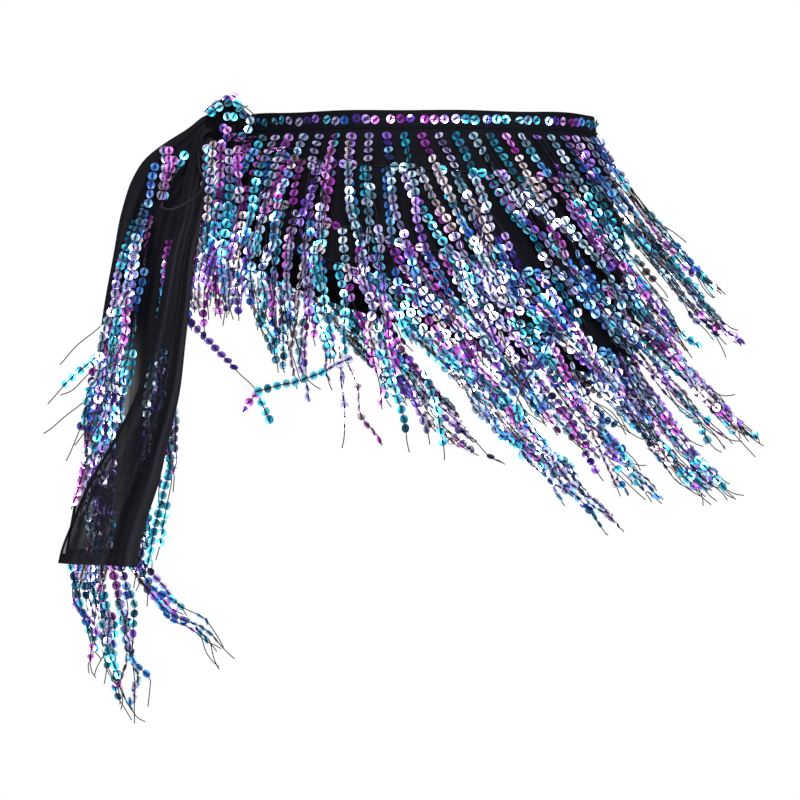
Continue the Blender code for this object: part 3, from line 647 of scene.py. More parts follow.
class Batch:
    """Points, faces and tints that are gathered into one mesh."""

    def __init__(self):
        self.points = []
        self.tints = []
        self.faces = []
        self.count = 0

    def add(self, points, faces, slot, tints=None):
        """faces is an array of one row a face, into points."""
        points = np.asarray(points, float).reshape(-1, 3)
        self.points.append(points)
        self.tints.append(np.zeros((len(points), 3)) if tints is None else tints)
        self.faces.append((np.asarray(faces, int) + self.count, slot))
        self.count += len(points)

    def loft(self, rings, slot, inward=False):
        """A closed skin over rings of points, capped at both ends; inward if they turn the other way."""
        steps, sides = np.shape(rings)[:2]
        i, k = np.meshgrid(np.arange(steps - 1), np.arange(sides), indexing="ij")
        a, b = (i * sides + k).ravel(), (i * sides + (k + 1) % sides).ravel()
        skin = np.column_stack([a, b, b + sides, a + sides])
        ring = np.arange(sides)
        caps = np.array([ring[::-1], ring + (steps - 1) * sides])
        if inward:
            skin, caps = skin[:, [1, 0, 3, 2]], caps[:, ::-1]
        start = self.count
        self.add(rings, skin, slot)
        self.faces.append((caps + start, slot))

    def tube(self, path, radius, slot, sides=4):
        """A closed tube along a path."""
        path = np.asarray(path, float)
        ahead = unit(np.gradient(path, axis=0))
        wide = unit(np.cross(ahead, NO_PATH_RUNS))
        deep = np.cross(ahead, wide)
        turn = 2 * np.pi * np.arange(sides) / sides
        rings = (
            path[:, None]
            + radius * np.cos(turn)[None, :, None] * wide[:, None]
            + radius * np.sin(turn)[None, :, None] * deep[:, None]
        )
        self.loft(rings, slot)

    def discs(self, centres, along, normals, diameters, shade_a, shade_b, spin):
        """Cupped sequins in painted light and shade. along and normals are unit rows."""
        n, sides = len(centres), SEQUIN_SIDES
        across = np.cross(normals, along)
        turn = 2 * np.pi * np.arange(sides) / sides
        rim = np.cos(turn)[None, :, None] * along[:, None] + np.sin(turn)[None, :, None] * across[:, None]
        rim = rim * (diameters / 2)[:, None, None]
        middle = centres[:, None]
        cup = (normals * SEQUIN_CUP)[:, None]
        back = (normals * SEQUIN_THICK)[:, None]
        points = np.concatenate(
            [middle + rim, middle + rim * SEQUIN_FLAT - cup, middle - cup, middle - cup - back], axis=1
        )
        k = np.arange(sides)
        m = (k + 1) % sides
        bevel = np.concatenate([
            np.column_stack([k, m, m + sides]),
            np.column_stack([k, m + sides, k + sides]),
        ])
        flat = np.column_stack([k + sides, m + sides, np.full(sides, 2 * sides)])
        low = np.column_stack([m, k, np.full(sides, 2 * sides + 1)])
        starts = (np.arange(n) * points.shape[1])[:, None, None]
        # Painted light: each disc is lit at the sides of its stitch and in painted shade at the stitch's
        # two ends,
        painted_lit_sides = np.abs(np.sin(turn[None] - spin[:, None]))
        # in painted shade at its rim by RIM_SHADE, and in its darker shade in the middle and at the back.
        painted_shading = np.concatenate([painted_lit_sides * RIM_SHADE, painted_lit_sides, np.full((n, 2), 0.0)], axis=1)[:, :, None]
        tints = shade_a[:, None] * (1 - painted_shading) + shade_b[:, None] * painted_shading
        triangles = (np.concatenate([bevel, flat, low])[None] + starts).reshape(-1, 3)
        self.add(points, triangles, 0, tints.reshape(-1, 3))
        self.stitches(centres, along, across, normals, spin)

    def stitches(self, centres, along, across, normals, spin):
        """The thread that crosses each sequin from edge to edge through its middle."""
        way = along * np.cos(spin)[:, None] + across * np.sin(spin)[:, None]
        side = np.cross(normals, way)
        parts = (
            way * STITCH_LONG / 2, side * STITCH_WIDE / 2, -way * STITCH_LONG / 2,
            -side * STITCH_WIDE / 2, normals * STITCH_TALL / 2, -normals * STITCH_TALL / 2,
        )
        points = np.stack([centres + p for p in parts], axis=1)
        ring = ((0, 1), (1, 2), (2, 3), (3, 0))
        faces = np.array([(a, b, 4) for a, b in ring] + [(b, a, 5) for a, b in ring])
        starts = (np.arange(len(centres)) * 6)[:, None, None]
        self.add(points, (faces[None] + starts).reshape(-1, 3), 1)

    def grid(self, outer, inner, slot):
        """A closed sheet between two grids of points."""
        rows, columns = outer.shape[:2]
        half = rows * columns
        place = np.arange(half).reshape(rows, columns)
        a = place[:-1, :-1].ravel()
        front = np.column_stack([a, a + 1, a + columns + 1, a + columns])
        rim = np.concatenate([place[0], place[1:, -1], place[-1, -2::-1], place[-2:0:-1, 0]])
        ahead = np.roll(rim, -1)
        edge = np.column_stack([ahead, rim, rim + half, ahead + half])
        points = np.concatenate([outer.reshape(-1, 3), inner.reshape(-1, 3)])
        self.add(points, np.concatenate([front, front[:, ::-1] + half, edge]), slot)


def make_piece(name, batch, materials, node, layers=None, uv=None):
    """One object from a batch. It rides the body and, where node is given, stands for that solid."""
    mesh = bpy.data.meshes.new(name)
    points = np.concatenate(batch.points)
    sizes = np.concatenate([np.full(len(f), f.shape[1]) for f, _ in batch.faces])
    corners = np.concatenate([f.ravel() for f, _ in batch.faces])
    slots = np.concatenate([np.full(len(f), s) for f, s in batch.faces])
    mesh.vertices.add(len(points))
    mesh.vertices.foreach_set("co", points.astype(np.float32).ravel())
    mesh.loops.add(len(corners))
    mesh.loops.foreach_set("vertex_index", corners.astype(np.int32))
    mesh.polygons.add(len(sizes))
    mesh.polygons.foreach_set("loop_start", (np.cumsum(sizes) - sizes).astype(np.int32))
    mesh.polygons.foreach_set("material_index", slots.astype(np.int32))
    mesh.update(calc_edges=True)
    # tint: the sequins' colours with their painted light and shade.
    tints = mesh.color_attributes.new("tint", "FLOAT_COLOR", "POINT")
    shades = np.ones((len(points), 4), np.float32)
    shades[:, :3] = np.concatenate(batch.tints)
    tints.data.foreach_set("color", shades.ravel())
    if layers is not None:
        thick = mesh.attributes.new("layers", "FLOAT", "POINT")
        thick.data.foreach_set("value", np.asarray(layers, np.float32).ravel())
    if uv is not None:
        made = mesh.uv_layers.new(name="cloth")
        made.data.foreach_set("uv", np.asarray(uv, np.float32)[corners].ravel())
    mesh.shade_smooth()
    mesh.set_sharp_from_angle(angle=SHARP)
    for made in materials:
        mesh.materials.append(made)
    obj = bpy.data.objects.new(name, mesh)
    bpy.context.scene.collection.objects.link(obj)
    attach(obj, "root")
    if node:
        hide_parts(node)
    return obj


# ---------------- materials


class Nodes:
    """A material's node tree, with its Principled node."""

    def __init__(self, name):
        self.made = bpy.data.materials.new(name)
        self.made.use_nodes = True
        self.tree = self.made.node_tree
        self.shader = self.tree.nodes["Principled BSDF"]

    def node(self, kind, inputs=None, **settings):
        n = self.tree.nodes.new(kind)
        for key, value in settings.items():
            setattr(n, key, value)
        for key, value in (inputs or {}).items():
            self.feed(n.inputs[key], value)
        return n

    def feed(self, socket, value):
        if isinstance(value, bpy.types.NodeSocket):
            self.tree.links.new(value, socket)
        else:
            socket.default_value = value

    def noise(self, place, scale, detail):
        values = {"Vector": place, "Scale": scale, "Detail": detail}
        return self.node("ShaderNodeTexNoise", values).outputs["Fac"]

    def math(self, operation, a, b):
        return self.node("ShaderNodeMath", {0: a, 1: b}, operation=operation).outputs[0]

    def ramp(self, value, low, high, to_low, to_high):
        values = {"Value": value, "From Min": low, "From Max": high, "To Min": to_low, "To Max": to_high}
        return self.node("ShaderNodeMapRange", values).outputs["Result"]

    def blend(self, share, a, b):
        n = self.node("ShaderNodeMix", data_type="RGBA")
        self.feed(n.inputs["Factor"], share)
        self.feed(n.inputs[6], a)
        self.feed(n.inputs[7], b)
        return n.outputs[2]

    def principled(self, **values):
        for key, value in values.items():
            self.feed(self.shader.inputs[key.replace("_", " ")], value)


def sequin_material():
    """Thin iridescent plastic: each disc's tint with its painted light and shade, mottled, with a
    mirror-like coat.
    """
    m = Nodes("sequin")
    tint = m.node("ShaderNodeAttribute", attribute_name="tint").outputs["Color"]
    place = m.node("ShaderNodeTexCoord").outputs["Object"]
    mottle = m.noise(place, 420.0, 2.0)
    film = m.noise(place, 95.0, 1.0)
    dark = m.blend(1.0, tint, (0.60, 0.52, 0.70, 1.0))
    dark.node.blend_type = "MULTIPLY"
    shaded = m.blend(m.ramp(mottle, 0.35, 0.62, 0.0, 1.0), dark, tint)
    pale = m.blend(m.ramp(film, 0.55, 0.75, 0.0, 0.07), shaded, (0.80, 0.86, 0.95, 1.0))
    m.principled(
        Base_Color=pale, Metallic=0.68, Roughness=m.ramp(mottle, 0.3, 0.7, 0.20, 0.34),
        Coat_Weight=0.5, Coat_Roughness=0.08, Coat_IOR=1.6, IOR=1.55,
    )
    return m.made


def thread_material():
    """Twisted black polyester sewing thread."""
    m = Nodes("thread")
    place = m.node("ShaderNodeTexCoord").outputs["Object"]
    ply = m.noise(place, 900.0, 1.0)
    colour = m.blend(ply, (0.0008, 0.0008, 0.001, 1.0), (0.009, 0.009, 0.011, 1.0))
    m.principled(Base_Color=colour, Roughness=0.8, Specular_IOR_Level=0.08)
    return m.made


def chiffon_material(name, clear, dense, crinkle, haze, shine):
    """Black chiffon: a crossed weave with lengthwise crinkles that open and close it.

    clear and dense are how solid its thinnest and its fullest places are, crinkle is how many
    crinkles there are, haze is how pale it is and shine how much it gleams.
    """
    m = Nodes(name)
    flat = m.node("ShaderNodeUVMap", uv_map="cloth").outputs["UV"]
    long = m.node("ShaderNodeMapping", {"Vector": flat, "Scale": (crinkle, crinkle / 14, 1.0)}).outputs[0]
    streak = m.noise(long, 1.0, 3.0)
    threads = []
    for direction in ("X", "Y"):
        values = {"Vector": flat, "Scale": WEAVE_SCALE, "Distortion": 0.4}
        wave = m.node("ShaderNodeTexWave", values, bands_direction=direction)
        threads.append(wave.outputs["Fac"])
    weave = m.math("MAXIMUM", threads[0], threads[1])
    layers = m.node("ShaderNodeAttribute", attribute_name="layers").outputs["Fac"]
    solid = m.ramp(streak, 0.36, 0.62, clear, dense)
    solid = m.math("MULTIPLY", solid, m.ramp(weave, 0.0, 1.0, 0.92, 1.04))
    solid = m.math("MAXIMUM", solid, m.ramp(layers, 0.0, 1.0, 0.0, 0.992))
    black, pale = (0.0016, 0.0016, 0.0032, 1.0), (haze, haze, haze * 1.5, 1.0)
    colour = m.blend(m.ramp(streak, 0.35, 0.65, 0.0, 1.0), black, pale)
    relief = m.math("ADD", m.math("MULTIPLY", streak, 1.0), m.math("MULTIPLY", weave, 0.15))
    bump = m.node("ShaderNodeBump", {"Height": relief, "Strength": 0.22, "Distance": 0.0005})
    m.principled(
        Base_Color=colour, Roughness=0.72, Normal=bump.outputs["Normal"], Alpha=solid,
        Sheen_Weight=0.006, Sheen_Roughness=0.4, Specular_IOR_Level=shine,
    )
    return m.made


# ---------------- cloth


def make_waistband(cloth):
    """The chiffon folded into a narrow band, a corded edge below, gathered a little by its header."""
    half = BAND_HEIGHT / 2
    angles = np.linspace(WRAP_START - INTO_KNOT, WRAP_END + INTO_KNOT, WRAP_COLUMNS)
    run = np.radians(angles) * (BAND_HALF_WIDTH + BAND_HALF_DEPTH) / 2
    gather = soft_noise(run, 7, 5, 0.006, 0.015)
    sway = soft_noise(run, 8, 3, 0.05, 0.14)
    rings = []
    for j, angle in enumerate(angles):
        ring = []
        for up, share in BAND_SECTION:
            swell = BAND_GATHER * gather[j] * max(0.0, 1 - abs(up)) if share > 0.3 else 0.0
            out = EASE + BAND_THICK * share + swell
            place = on_figure(angle, max(0.0, -up * half), out)
            ring.append((place[0], place[1], up * half + BAND_SWAY * sway[j]))
        rings.append(ring)
    batch = Batch()
    batch.loft(rings, 0)
    sides = len(BAND_SECTION)
    uv = np.column_stack([np.repeat(run, sides), np.tile(np.arange(sides) * 0.0016, WRAP_COLUMNS)])
    obj = make_piece("waistband_cloth", batch, [cloth], "waistband", np.ones(len(uv)), uv)


def panel_out(angle, share):
    """The depth and how far out the panel's outer face lies, its top sewn in under the band."""
    top = panel_top() - SEWN_IN
    depth = top + (at_angle(LOWER_EDGE, "depth", angle) - top) * share
    fold = folded(angle)
    drag = fold - CRINKLE_DRAG * share
    (coarse, pitch), (small, small_pitch) = CRINKLES
    fine = coarse * math.sin(math.radians(pitch * drag) + 1.6 * math.sin(math.radians(2.3 * fold)))
    fine += small * math.sin(math.radians(small_pitch * drag) + 2.0 * share)
    hem = HEM_ROLL * math.exp(-(((1 - share) * 0.12) / HEM_ROLL_WIDE) ** 2)
    clear = 1 - math.exp(-(depth - top) / TOP_TUCK)
    return depth, EASE + CHIFFON + crease(angle, share) * clear + fine * min(1.0, 4 * share) + hem


def make_panel(cloth):
    """The chiffon triangle that wraps the hips under the fringe."""
    outer, inner = np.zeros((2, PANEL_ROWS, WRAP_COLUMNS, 3))
    uv = np.zeros((PANEL_ROWS, WRAP_COLUMNS, 2))
    layers = np.zeros((PANEL_ROWS, WRAP_COLUMNS))
    for i in range(PANEL_ROWS):
        share = i / (PANEL_ROWS - 1)
        for j, angle in enumerate(np.linspace(WRAP_START, WRAP_END, WRAP_COLUMNS)):
            depth, out = panel_out(angle, share)
            outer[i, j] = on_figure(angle, depth, out)
            inner[i, j] = outer[i, j] - outward(angle, depth) * CLOTH
            uv[i, j] = math.radians(angle) * (HIP_HALF_WIDTH + HIP_HALF_DEPTH) / 2, -depth
            layers[i, j] = 1.0 if (1 - share) * depth < HEM_NARROW else 0.0
    batch = Batch()
    batch.grid(outer, inner, 0)
    layers, uv = np.tile(layers.ravel(), 2), np.tile(uv.reshape(-1, 2), (2, 1))
    obj = make_piece("hip_panel_cloth", batch, [cloth], "hip_panel", layers, uv)


def make_tail(name, table, cloth, pleats, hem):
    """A tie end: a thin sheet gathered at the knot, with narrow rolled sides and a turned hem.

    It hangs folded double, and opens to a single layer at the bottom of its outer side.
    """
    rows, columns = TAIL_GRID
    at = np.linspace(table["at"][0], table["at"][-1], rows)[:, None]
    u = np.linspace(-1, 1, columns)[None, :]
    down = (at - at[0]) / (at[-1] - at[0])
    middle = tail_point(table, at, u)
    n = np.cross(np.gradient(middle, axis=1), np.gradient(middle, axis=0))
    n /= np.linalg.norm(n, axis=2, keepdims=True)
    n *= -np.sign(n[..., 1:2])
    gathered = np.exp(-down / PLEAT_FADE)
    fine = sum(
        size * (keep + (1 - keep) * gathered) * np.sin(np.pi * count * u + phase + drift * down)
        for size, count, phase, drift, keep in pleats
    )
    middle = middle + n * (fine * np.minimum(1.0, 8 * down))[..., None]
    wide = tail_size(table, "inner", at) - tail_size(table, "outer", at)
    rolled = ((1 - np.abs(u)) * wide / 2 < ROLLED) | ((1 - down) * (at[-1] - at[0]) < hem)
    thick = n * (CLOTH / 2 * np.where(rolled, 2.0, 1.0))[..., None]
    single = smooth_step(down, *SINGLE_DOWN) * smooth_step(-u, *SINGLE_ASIDE)
    layers = np.where(rolled, 1.0, 1.0 - single)
    batch = Batch()
    batch.grid(middle + thick, middle - thick, 0)
    uv = np.stack([u * TAIL_HALF_WIDE + 0 * at, 0 * u - at], axis=-1).reshape(-1, 2)
    layers, uv = np.tile(layers.ravel(), 2), np.tile(uv, (2, 1))
    obj = make_piece(name + "_cloth", batch, [cloth], name, layers, uv)


def knot_frame():
    """Middle of the knot, and its level, outward and upward directions."""
    out = outward(KNOT_ANGLE, 0.0)
    middle = on_figure(KNOT_ANGLE, 0.0, KNOT_OUT) + np.array([0.0, 0.0, KNOT_RISE])
    up = np.array([0.0, 0.0, 1.0])
    return middle, np.cross(up, out), out, up


def knot_point(lon, lat, extra):
    """A point of the knot's lumpy round body; lon turns about its level axis."""
    middle, along, out, up = knot_frame()
    lump = 1 + KNOT_LUMP * math.sin(3 * lon + 2 * lat) * math.cos(lat)
    x = math.sin(lat) * (KNOT_HALF_LONG + extra)
    y = math.cos(lat) * math.sin(lon) * (KNOT_HALF_DEEP * lump + extra)
    z = math.cos(lat) * math.cos(lon) * (KNOT_HALF_TALL * lump + extra)
    return middle + along * x + out * y + up * z


def knot_fold(lon, lat):
    """Folds of the tied cloth: uneven troughs that twist from one end of the knot to the other."""
    way = 3.5 * lon + 1.6 * lat + 0.8 * math.sin(lon + 0.6) + 0.5 * math.sin(2 * lon - 1.0)
    trough = (1 - abs(math.sin(way))) ** 1.5
    minor = math.sin(13 * lon + 2.6 * lat)
    deep = max(math.cos(lat), 0.0) ** 0.35
    return (KNOT_MINOR * minor - KNOT_TROUGH * trough) * deep


def make_knot(cloth):
    """The knot's body, a lumpy ball of folded cloth."""
    around, rings = 120, 90
    lofted, uv = [], []
    for i in range(rings + 1):
        lat = (-0.5 + (i + 0.02) / (rings + 0.04)) * math.pi
        turns = [2 * math.pi * k / around for k in range(around)]
        lofted.append([knot_point(lon, lat, knot_fold(lon, lat)) for lon in turns])
        uv += [(lat * KNOT_HALF_LONG, lon * KNOT_HALF_TALL) for lon in turns]
    batch = Batch()
    batch.loft(lofted, 0, inward=True)
    obj = make_piece("knot_cloth", batch, [cloth], "knot_core", np.ones(len(uv)), uv)


def make_knot_wrap(cloth):
    """The strand of cloth that crosses the knot's outer side, with folds along it."""
    steps, across = 60, 22
    tilt = math.radians(WRAP_TILT)
    rings, uv = [], []
    for t in np.linspace(0, 1, steps):
        lon = math.radians(WRAP_TURN[0] + (WRAP_TURN[1] - WRAP_TURN[0]) * t)
        taper = WRAP_NARROW + (1 - WRAP_NARROW) * math.sin(math.pi * t)
        half = WRAP_WIDE / 2 * taper / KNOT_HALF_LONG
        ring = []
        for k in range(across):
            turn = 2 * math.pi * k / across
            side = -math.cos(turn)
            height = max(0.0, math.sin(turn)) ** 0.7
            ridge = 0.18 * math.cos(3.2 * math.pi * side + 1.5 * t) * height
            over = SEAT + WRAP_THICK * taper * (height * 0.9 + ridge)
            extra = -WRAP_SUNK if turn > math.pi else over
            ring.append(knot_point(lon, tilt * math.cos(lon) + side * half, extra))
            uv.append((side * WRAP_WIDE / 2, t * 0.05))
        rings.append(ring)
    batch = Batch()
    batch.loft(rings, 0)
    obj = make_piece("knot_wrap_cloth", batch, [cloth], "knot_wrap", np.ones(len(uv)), uv)


# ---------------- sequins on strings


def pick_hue(random, hues):
    weights = np.array([HUES[h][2] for h in hues])
    return hues[random.choice(len(hues), p=weights / weights.sum())]


def sequin_places(random, start, end, hues, bare, runs):
    """Where sequins sit along a string, with the colour and twist of each, run by run.

    bare is the chance of an empty stretch of thread after a run; it grows towards the string's end,
    where the runs also turn further round the thread.
    """
    places, colours, twists = [], [], []
    at = start
    hue = pick_hue(random, hues)
    while at < end:
        share = (at - start) / (end - start)
        twist = random.normal(0, TWIST * (0.35 + 1.4 * share))
        turn = random.normal(0, RUN_TURN)
        for i in range(random.integers(*runs)):
            if at > end:
                break
            places.append(at)
            colours.append(hue)
            twists.append(twist + turn * i + random.normal(0, TWIST_SPREAD))
            at += SEQUIN_PITCH * random.uniform(*PITCH_SPREAD)
        near = [h for h in NEAR_HUES[hue].split() if h in hues]
        follows = near and random.random() < NEAR_CHANCE
        hue = near[random.integers(len(near))] if follows else pick_hue(random, hues)
        if random.random() < bare * (0.5 + 1.3 * share):
            at += random.uniform(*BARE_STRETCH)
    return np.array(places), colours, np.radians(twists)


def sew(batch, random, path, normals, places, colours, twists, lap=SEQUIN_LAP, spin=SPIN):
    """Sequins at places along a path, each turned about it by its twist and lapped over the next."""
    if len(places) == 0:
        return
    run = lengths_along(path)
    centres = at_lengths(path, run, places)
    along = unit(at_lengths(path, run, places + 0.001) - at_lengths(path, run, places - 0.001))
    out = at_lengths(normals, run, places)
    out = unit(out - along * (out * along).sum(1, keepdims=True))
    side = np.cross(along, out)
    out = out * np.cos(twists)[:, None] + side * np.sin(twists)[:, None]
    tilt = np.radians(lap + random.normal(0, LAP_SPREAD, len(places)))[:, None]
    faces = out * np.cos(tilt) - along * np.sin(tilt)
    lie = along * np.cos(tilt) + out * np.sin(tilt)
    # Painted light: each sequin's two shades are scaled by how brightly it is painted as lit; the
    # brighter, the paler.
    painted_light = np.clip(random.lognormal(*PAINTED_LIGHT_SPREAD, (len(places), 1)), *PAINTED_LIGHT_LIMITS)
    depth = np.clip(random.uniform(*COLOUR_DEPTH, (len(places), 1)) / painted_light, *DEEPEST)
    shade_a = np.array([HUES[c][0] for c in colours]) * painted_light
    shade_b = np.array([HUES[c][1] for c in colours]) ** depth * painted_light
    diameters = SEQUIN * random.uniform(*SEQUIN_SPREAD, len(places))
    spins = np.radians(random.normal(*spin, len(places)))
    batch.discs(centres + out * SEQUIN_RISE, lie, faces, diameters, shade_a, shade_b, spins)


def wobbled(random, path, normals, size):
    """The path with small uneven bends that grow towards its tip."""
    run = lengths_along(path)
    share = run / run[-1]
    side = np.cross(unit(np.gradient(path, axis=0)), normals)
    bends = []
    for _ in range(2):
        a, b = random.uniform(*LONG_BEND), random.uniform(*SHORT_BEND)
        bend = np.sin(2 * np.pi * (run / a + random.random()))
        bends.append(bend + 0.4 * np.sin(2 * np.pi * (run / b + random.random())))
    grow = size * share**1.1
    return path + side * (bends[0] * grow)[:, None] + normals * (bends[1] * grow * 0.3)[:, None]


def frayed(random, path, reach):
    """The path with a bare thread end that bends away from it."""
    ahead = path[-1] - path[-2]
    ahead /= np.linalg.norm(ahead)
    aside = np.cross(ahead, np.array([0.0, 1.0, 0.0])) * random.normal(0, 0.25)
    more = [path[-1] + ahead * reach * t + aside * reach * t * t for t in (0.34, 0.67, 1.0)]
    return np.concatenate([path, more])


def row_normals(path, root_y):
    """Which way a row's sequins face: out of the figure, and to the front where the row swings free."""
    n = np.zeros_like(path)
    for i, p in enumerate(path):
        wide, deep, shift = figure(-p[2])
        x = clamp((p[0] - shift) / (wide + 0.02), -0.45, 0.965)
        n[i] = x / wide, math.copysign(math.sqrt(1 - x * x), root_y) / deep, 0.0
    return unit(n)


def to_front(path):
    """Normals that all face the front."""
    return np.tile(FRONT, (len(path), 1))


def row_span(table, steps):
    """Angles from one end of a row to the other."""
    return np.linspace(table["start"], 2 * POINT_ANGLE - table["start"], steps)


def arc_angles(table, pitch):
    """Angles of the strings of a row, evenly spaced along the cloth."""
    fine = row_span(table, 721)
    line = np.array([on_figure(a, at_angle(table, "depth", a), 0.0) for a in fine])
    run = lengths_along(line)
    count = round(run[-1] / pitch)
    return np.interp((np.arange(count) + 0.5) * run[-1] / count, run, fine)


def header_out(angle, depth):
    share = clamp(panel_share(angle, depth))
    return EASE + CHIFFON + crease(angle, share) + SEAT + STRIP_THICK / 2


def make_header(batch, random, table):
    """The row of sequins sewn along the cloth that the row's strings hang from."""
    fine = row_span(table, 900)
    depths = [at_angle(table, "depth", a) for a in fine]
    path = np.array([on_figure(a, d, header_out(a, d) + HEADER_LIFT) for a, d in zip(fine, depths)])
    normals = np.array([outward(a, d) for a, d in zip(fine, depths)])
    batch.tube(path[::3], HEADER_RADIUS, 1)
    end = lengths_along(path)[-1] - ENDS_IN
    sewn = sequin_places(random, ENDS_IN, end, tuple(HUES), HEADER_BARE, HEADER_RUNS)
    places, colours, twists = sewn
    sew(batch, random, path, normals, places, colours, twists * HEADER_TWIST, lap=HEADER_LAP)


def string_path(table, angle, length, sway, layer):
    """A row's string from its header down, and which way its sequins face."""
    depth = at_angle(table, "depth", angle)
    first = header_out(angle, depth)
    root = on_figure(angle, depth, first)
    lean, tip = (at_angle(table, k, angle) for k in ("lean", "lean_tip"))
    swing = swung(length, lean + 0.3 * sway, tip + sway, STRING_STEPS)
    path = hang(root, angle, swing, first, table["layer"] + layer, table["tuck"])
    return path, row_normals(path, root[1])


def drawn_in(path, spine, pull):
    """The path, drawn towards the spine of its bunch on its way down."""
    run = lengths_along(path)
    near = np.clip(run / BUNCH_BY, 0, 1)
    share = (pull * near * near * (3 - 2 * near))[:, None]
    return path * (1 - share) + at_lengths(spine, lengths_along(spine), run) * share


def make_string(batch, random, path, normals, table, loose=1.0):
    """A thread with sequins along it and a bare end, longer the looser it is."""
    path = wobbled(random, path, normals, table["bend"])
    end = lengths_along(path)[-1]
    normals = np.concatenate([normals, [normals[-1]] * 3])
    path = frayed(random, path, loose * random.uniform(*BARE_END))
    batch.tube(path, THREAD / 2, 1)
    sewn = sequin_places(random, ENDS_IN, end - ENDS_IN, tuple(HUES), table["bare"], table["runs"])
    sew(batch, random, path, normals, *sewn)


def make_bare_thread(batch, random, path, normals):
    """A thread that has lost its sequins, but for up to three at its end."""
    path = wobbled(random, path, normals, BARE_BEND)
    batch.tube(path, THREAD / 2, 1)
    left = random.integers(0, BARE_LEFT + 1)
    places = lengths_along(path)[-1] - BARE_TIP - SEQUIN_PITCH * np.arange(left)
    hue = pick_hue(random, tuple(HUES))
    twists = np.radians(random.normal(0, BARE_TWIST, left))
    sew(batch, random, path, normals, places, [hue] * left, twists)


def make_bunch(batch, random, table, angles):
    """Neighbouring strings that hang together: all sway one way and draw in to the middle one."""
    middle = float(np.quantile(angles, table["lead"]))
    sway = random.normal(0, table["stray"])
    spine, _ = string_path(table, middle, SPINE_LONG * full_length(table, middle), sway, 0.0)
    pull = min(table["draw"] * random.uniform(*DRAW_SPREAD), DRAW_MOST)
    loose = float(np.interp(folded(middle), *LOOSE))
    for angle in angles:
        for twin in range(1 + (random.random() < table["twins"] * (1.6 - 0.6 * loose))):
            turned = angle + twin * random.uniform(-TWIN_APART, TWIN_APART)
            length = full_length(table, turned) * random.uniform(*LENGTH_SPREAD)
            length *= 1 - TWIN_SHORTER * twin
            own = sway + random.normal(0, table["stray"] * 0.8)
            layer = random.uniform(-LAYER_SPREAD, LAYER_SPREAD)
            path, normals = string_path(table, turned, length, own, layer)
            path = drawn_in(path, spine, pull)
            make_string(batch, random, path, normals, table, loose)
    for _ in range(round(BARE_THREADS * loose)):
        angle = random.uniform(angles[0], angles[-1])
        length = full_length(table, angle) * random.uniform(*BARE_LENGTH)
        own = sway + random.normal(0, table["stray"])
        path, normals = string_path(table, angle, length, own, BARE_LAYER)
        make_bare_thread(batch, random, drawn_in(path, spine, pull), normals)


def make_row(table, materials):
    """A row's strings, bunch by bunch, and its header, but for row 1, whose header doesn't show."""
    random = np.random.default_rng(table["seed"])
    batch = Batch()
    angles = arc_angles(table, STRING_PITCH)
    groups = list(table["groups"])
    at = 0
    while at < len(angles):
        count = groups.pop(0) if groups else random.integers(*table["bunch"])
        make_bunch(batch, random, table, angles[at : at + count])
        at += count
    if table["node"] != "fringe_row_1":
        make_header(batch, random, table)
    make_piece(table["node"] + "_strings", batch, materials, table["node"])


def make_band_header(materials):
    """Groups of lapped sequins along the middle of the waistband."""
    random = np.random.default_rng(BAND_SEED)
    fine = np.linspace(WRAP_START + 0.5, WRAP_END - 0.5, 900)
    path = np.array([on_figure(a, 0.0, EASE + BAND_THICK + BAND_LIFT) for a in fine])
    run = lengths_along(path)
    path[:, 2] += BAND_WANDER * soft_noise(run, 9, 3, 0.011, 0.04)
    ahead = np.array([0.0, FACE_FRONT, 0.0]) * np.sign(path[:, 1:2])
    normals = unit(np.array([outward(a, 0.0) for a in fine]) + ahead)
    batch = Batch()
    batch.tube(path[::3], THREAD / 2, 1)
    places, colours, twists = [], [], []
    at, group = BAND_ENDS[0], 0
    while at < run[-1] - BAND_ENDS[1]:
        for hue in BAND_HUES[group % len(BAND_HUES)].split():
            places.append(at)
            colours.append(hue)
            twists.append(random.normal(0, BAND_TWIST))
            at += BAND_PITCH * random.uniform(*BAND_PITCH_SPREAD)
        at += random.uniform(*BAND_GAP)
        group += 1
    sew(batch, random, path, normals, np.array(places), colours, np.radians(twists), BAND_LAP, BAND_SPIN)
    make_piece("waistband_header", batch, materials, None)


def spec_sizes(spec, share):
    return (float(np.interp(share, (0, 0.5, 1), spec[k])) for k in ("length", "lean", "lean_tip"))


def face_string(random, spec, share):
    """A string from a header down the rear tie end's front, over the ones below it."""
    at = spec["from"] + (spec["to"] - spec["from"]) * share**1.4
    aside = spec["spread"] * random.uniform(-1.1, 1.1)
    root = tail_point(REAR_TAIL, at, spec["u"]) + FRONT * FACE_ROOT
    root[0] += 0.7 * aside
    length, lean, tip = spec_sizes(spec, share)
    length *= random.uniform(*spec["cut"])
    lean, tip = (way + random.normal(0, sway) for way, sway in zip((lean, tip), FACE_SWAY))
    swing = swung(length, lean, tip, STRING_STEPS)
    layer = TAIL_STAND_OFF + spec["depth"] * (1 - share) + random.uniform(-0.001, 0.001)
    path = [root]
    for run, fall in swing:
        depth = fall - root[2]
        rise = eased(fall / FACE_RISE)
        y = root[1] + (tail_face(depth) - layer - root[1]) * rise
        path.append(np.array([root[0] + run + 0.3 * aside * rise, y, -depth]))
    return np.array(path)


def fall_free(root, length, lean, tip, random):
    """A string that hangs clear of everything, swaying where random draws are given."""
    if random is not None:
        lean, tip = (way + random.normal(0, sway) for way, sway in zip((lean, tip), END_SWAY))
    steps = swung(length, lean, tip, STRING_STEPS)
    return np.array([root] + [root + np.array([run, 0.0, -fall]) for run, fall in steps])


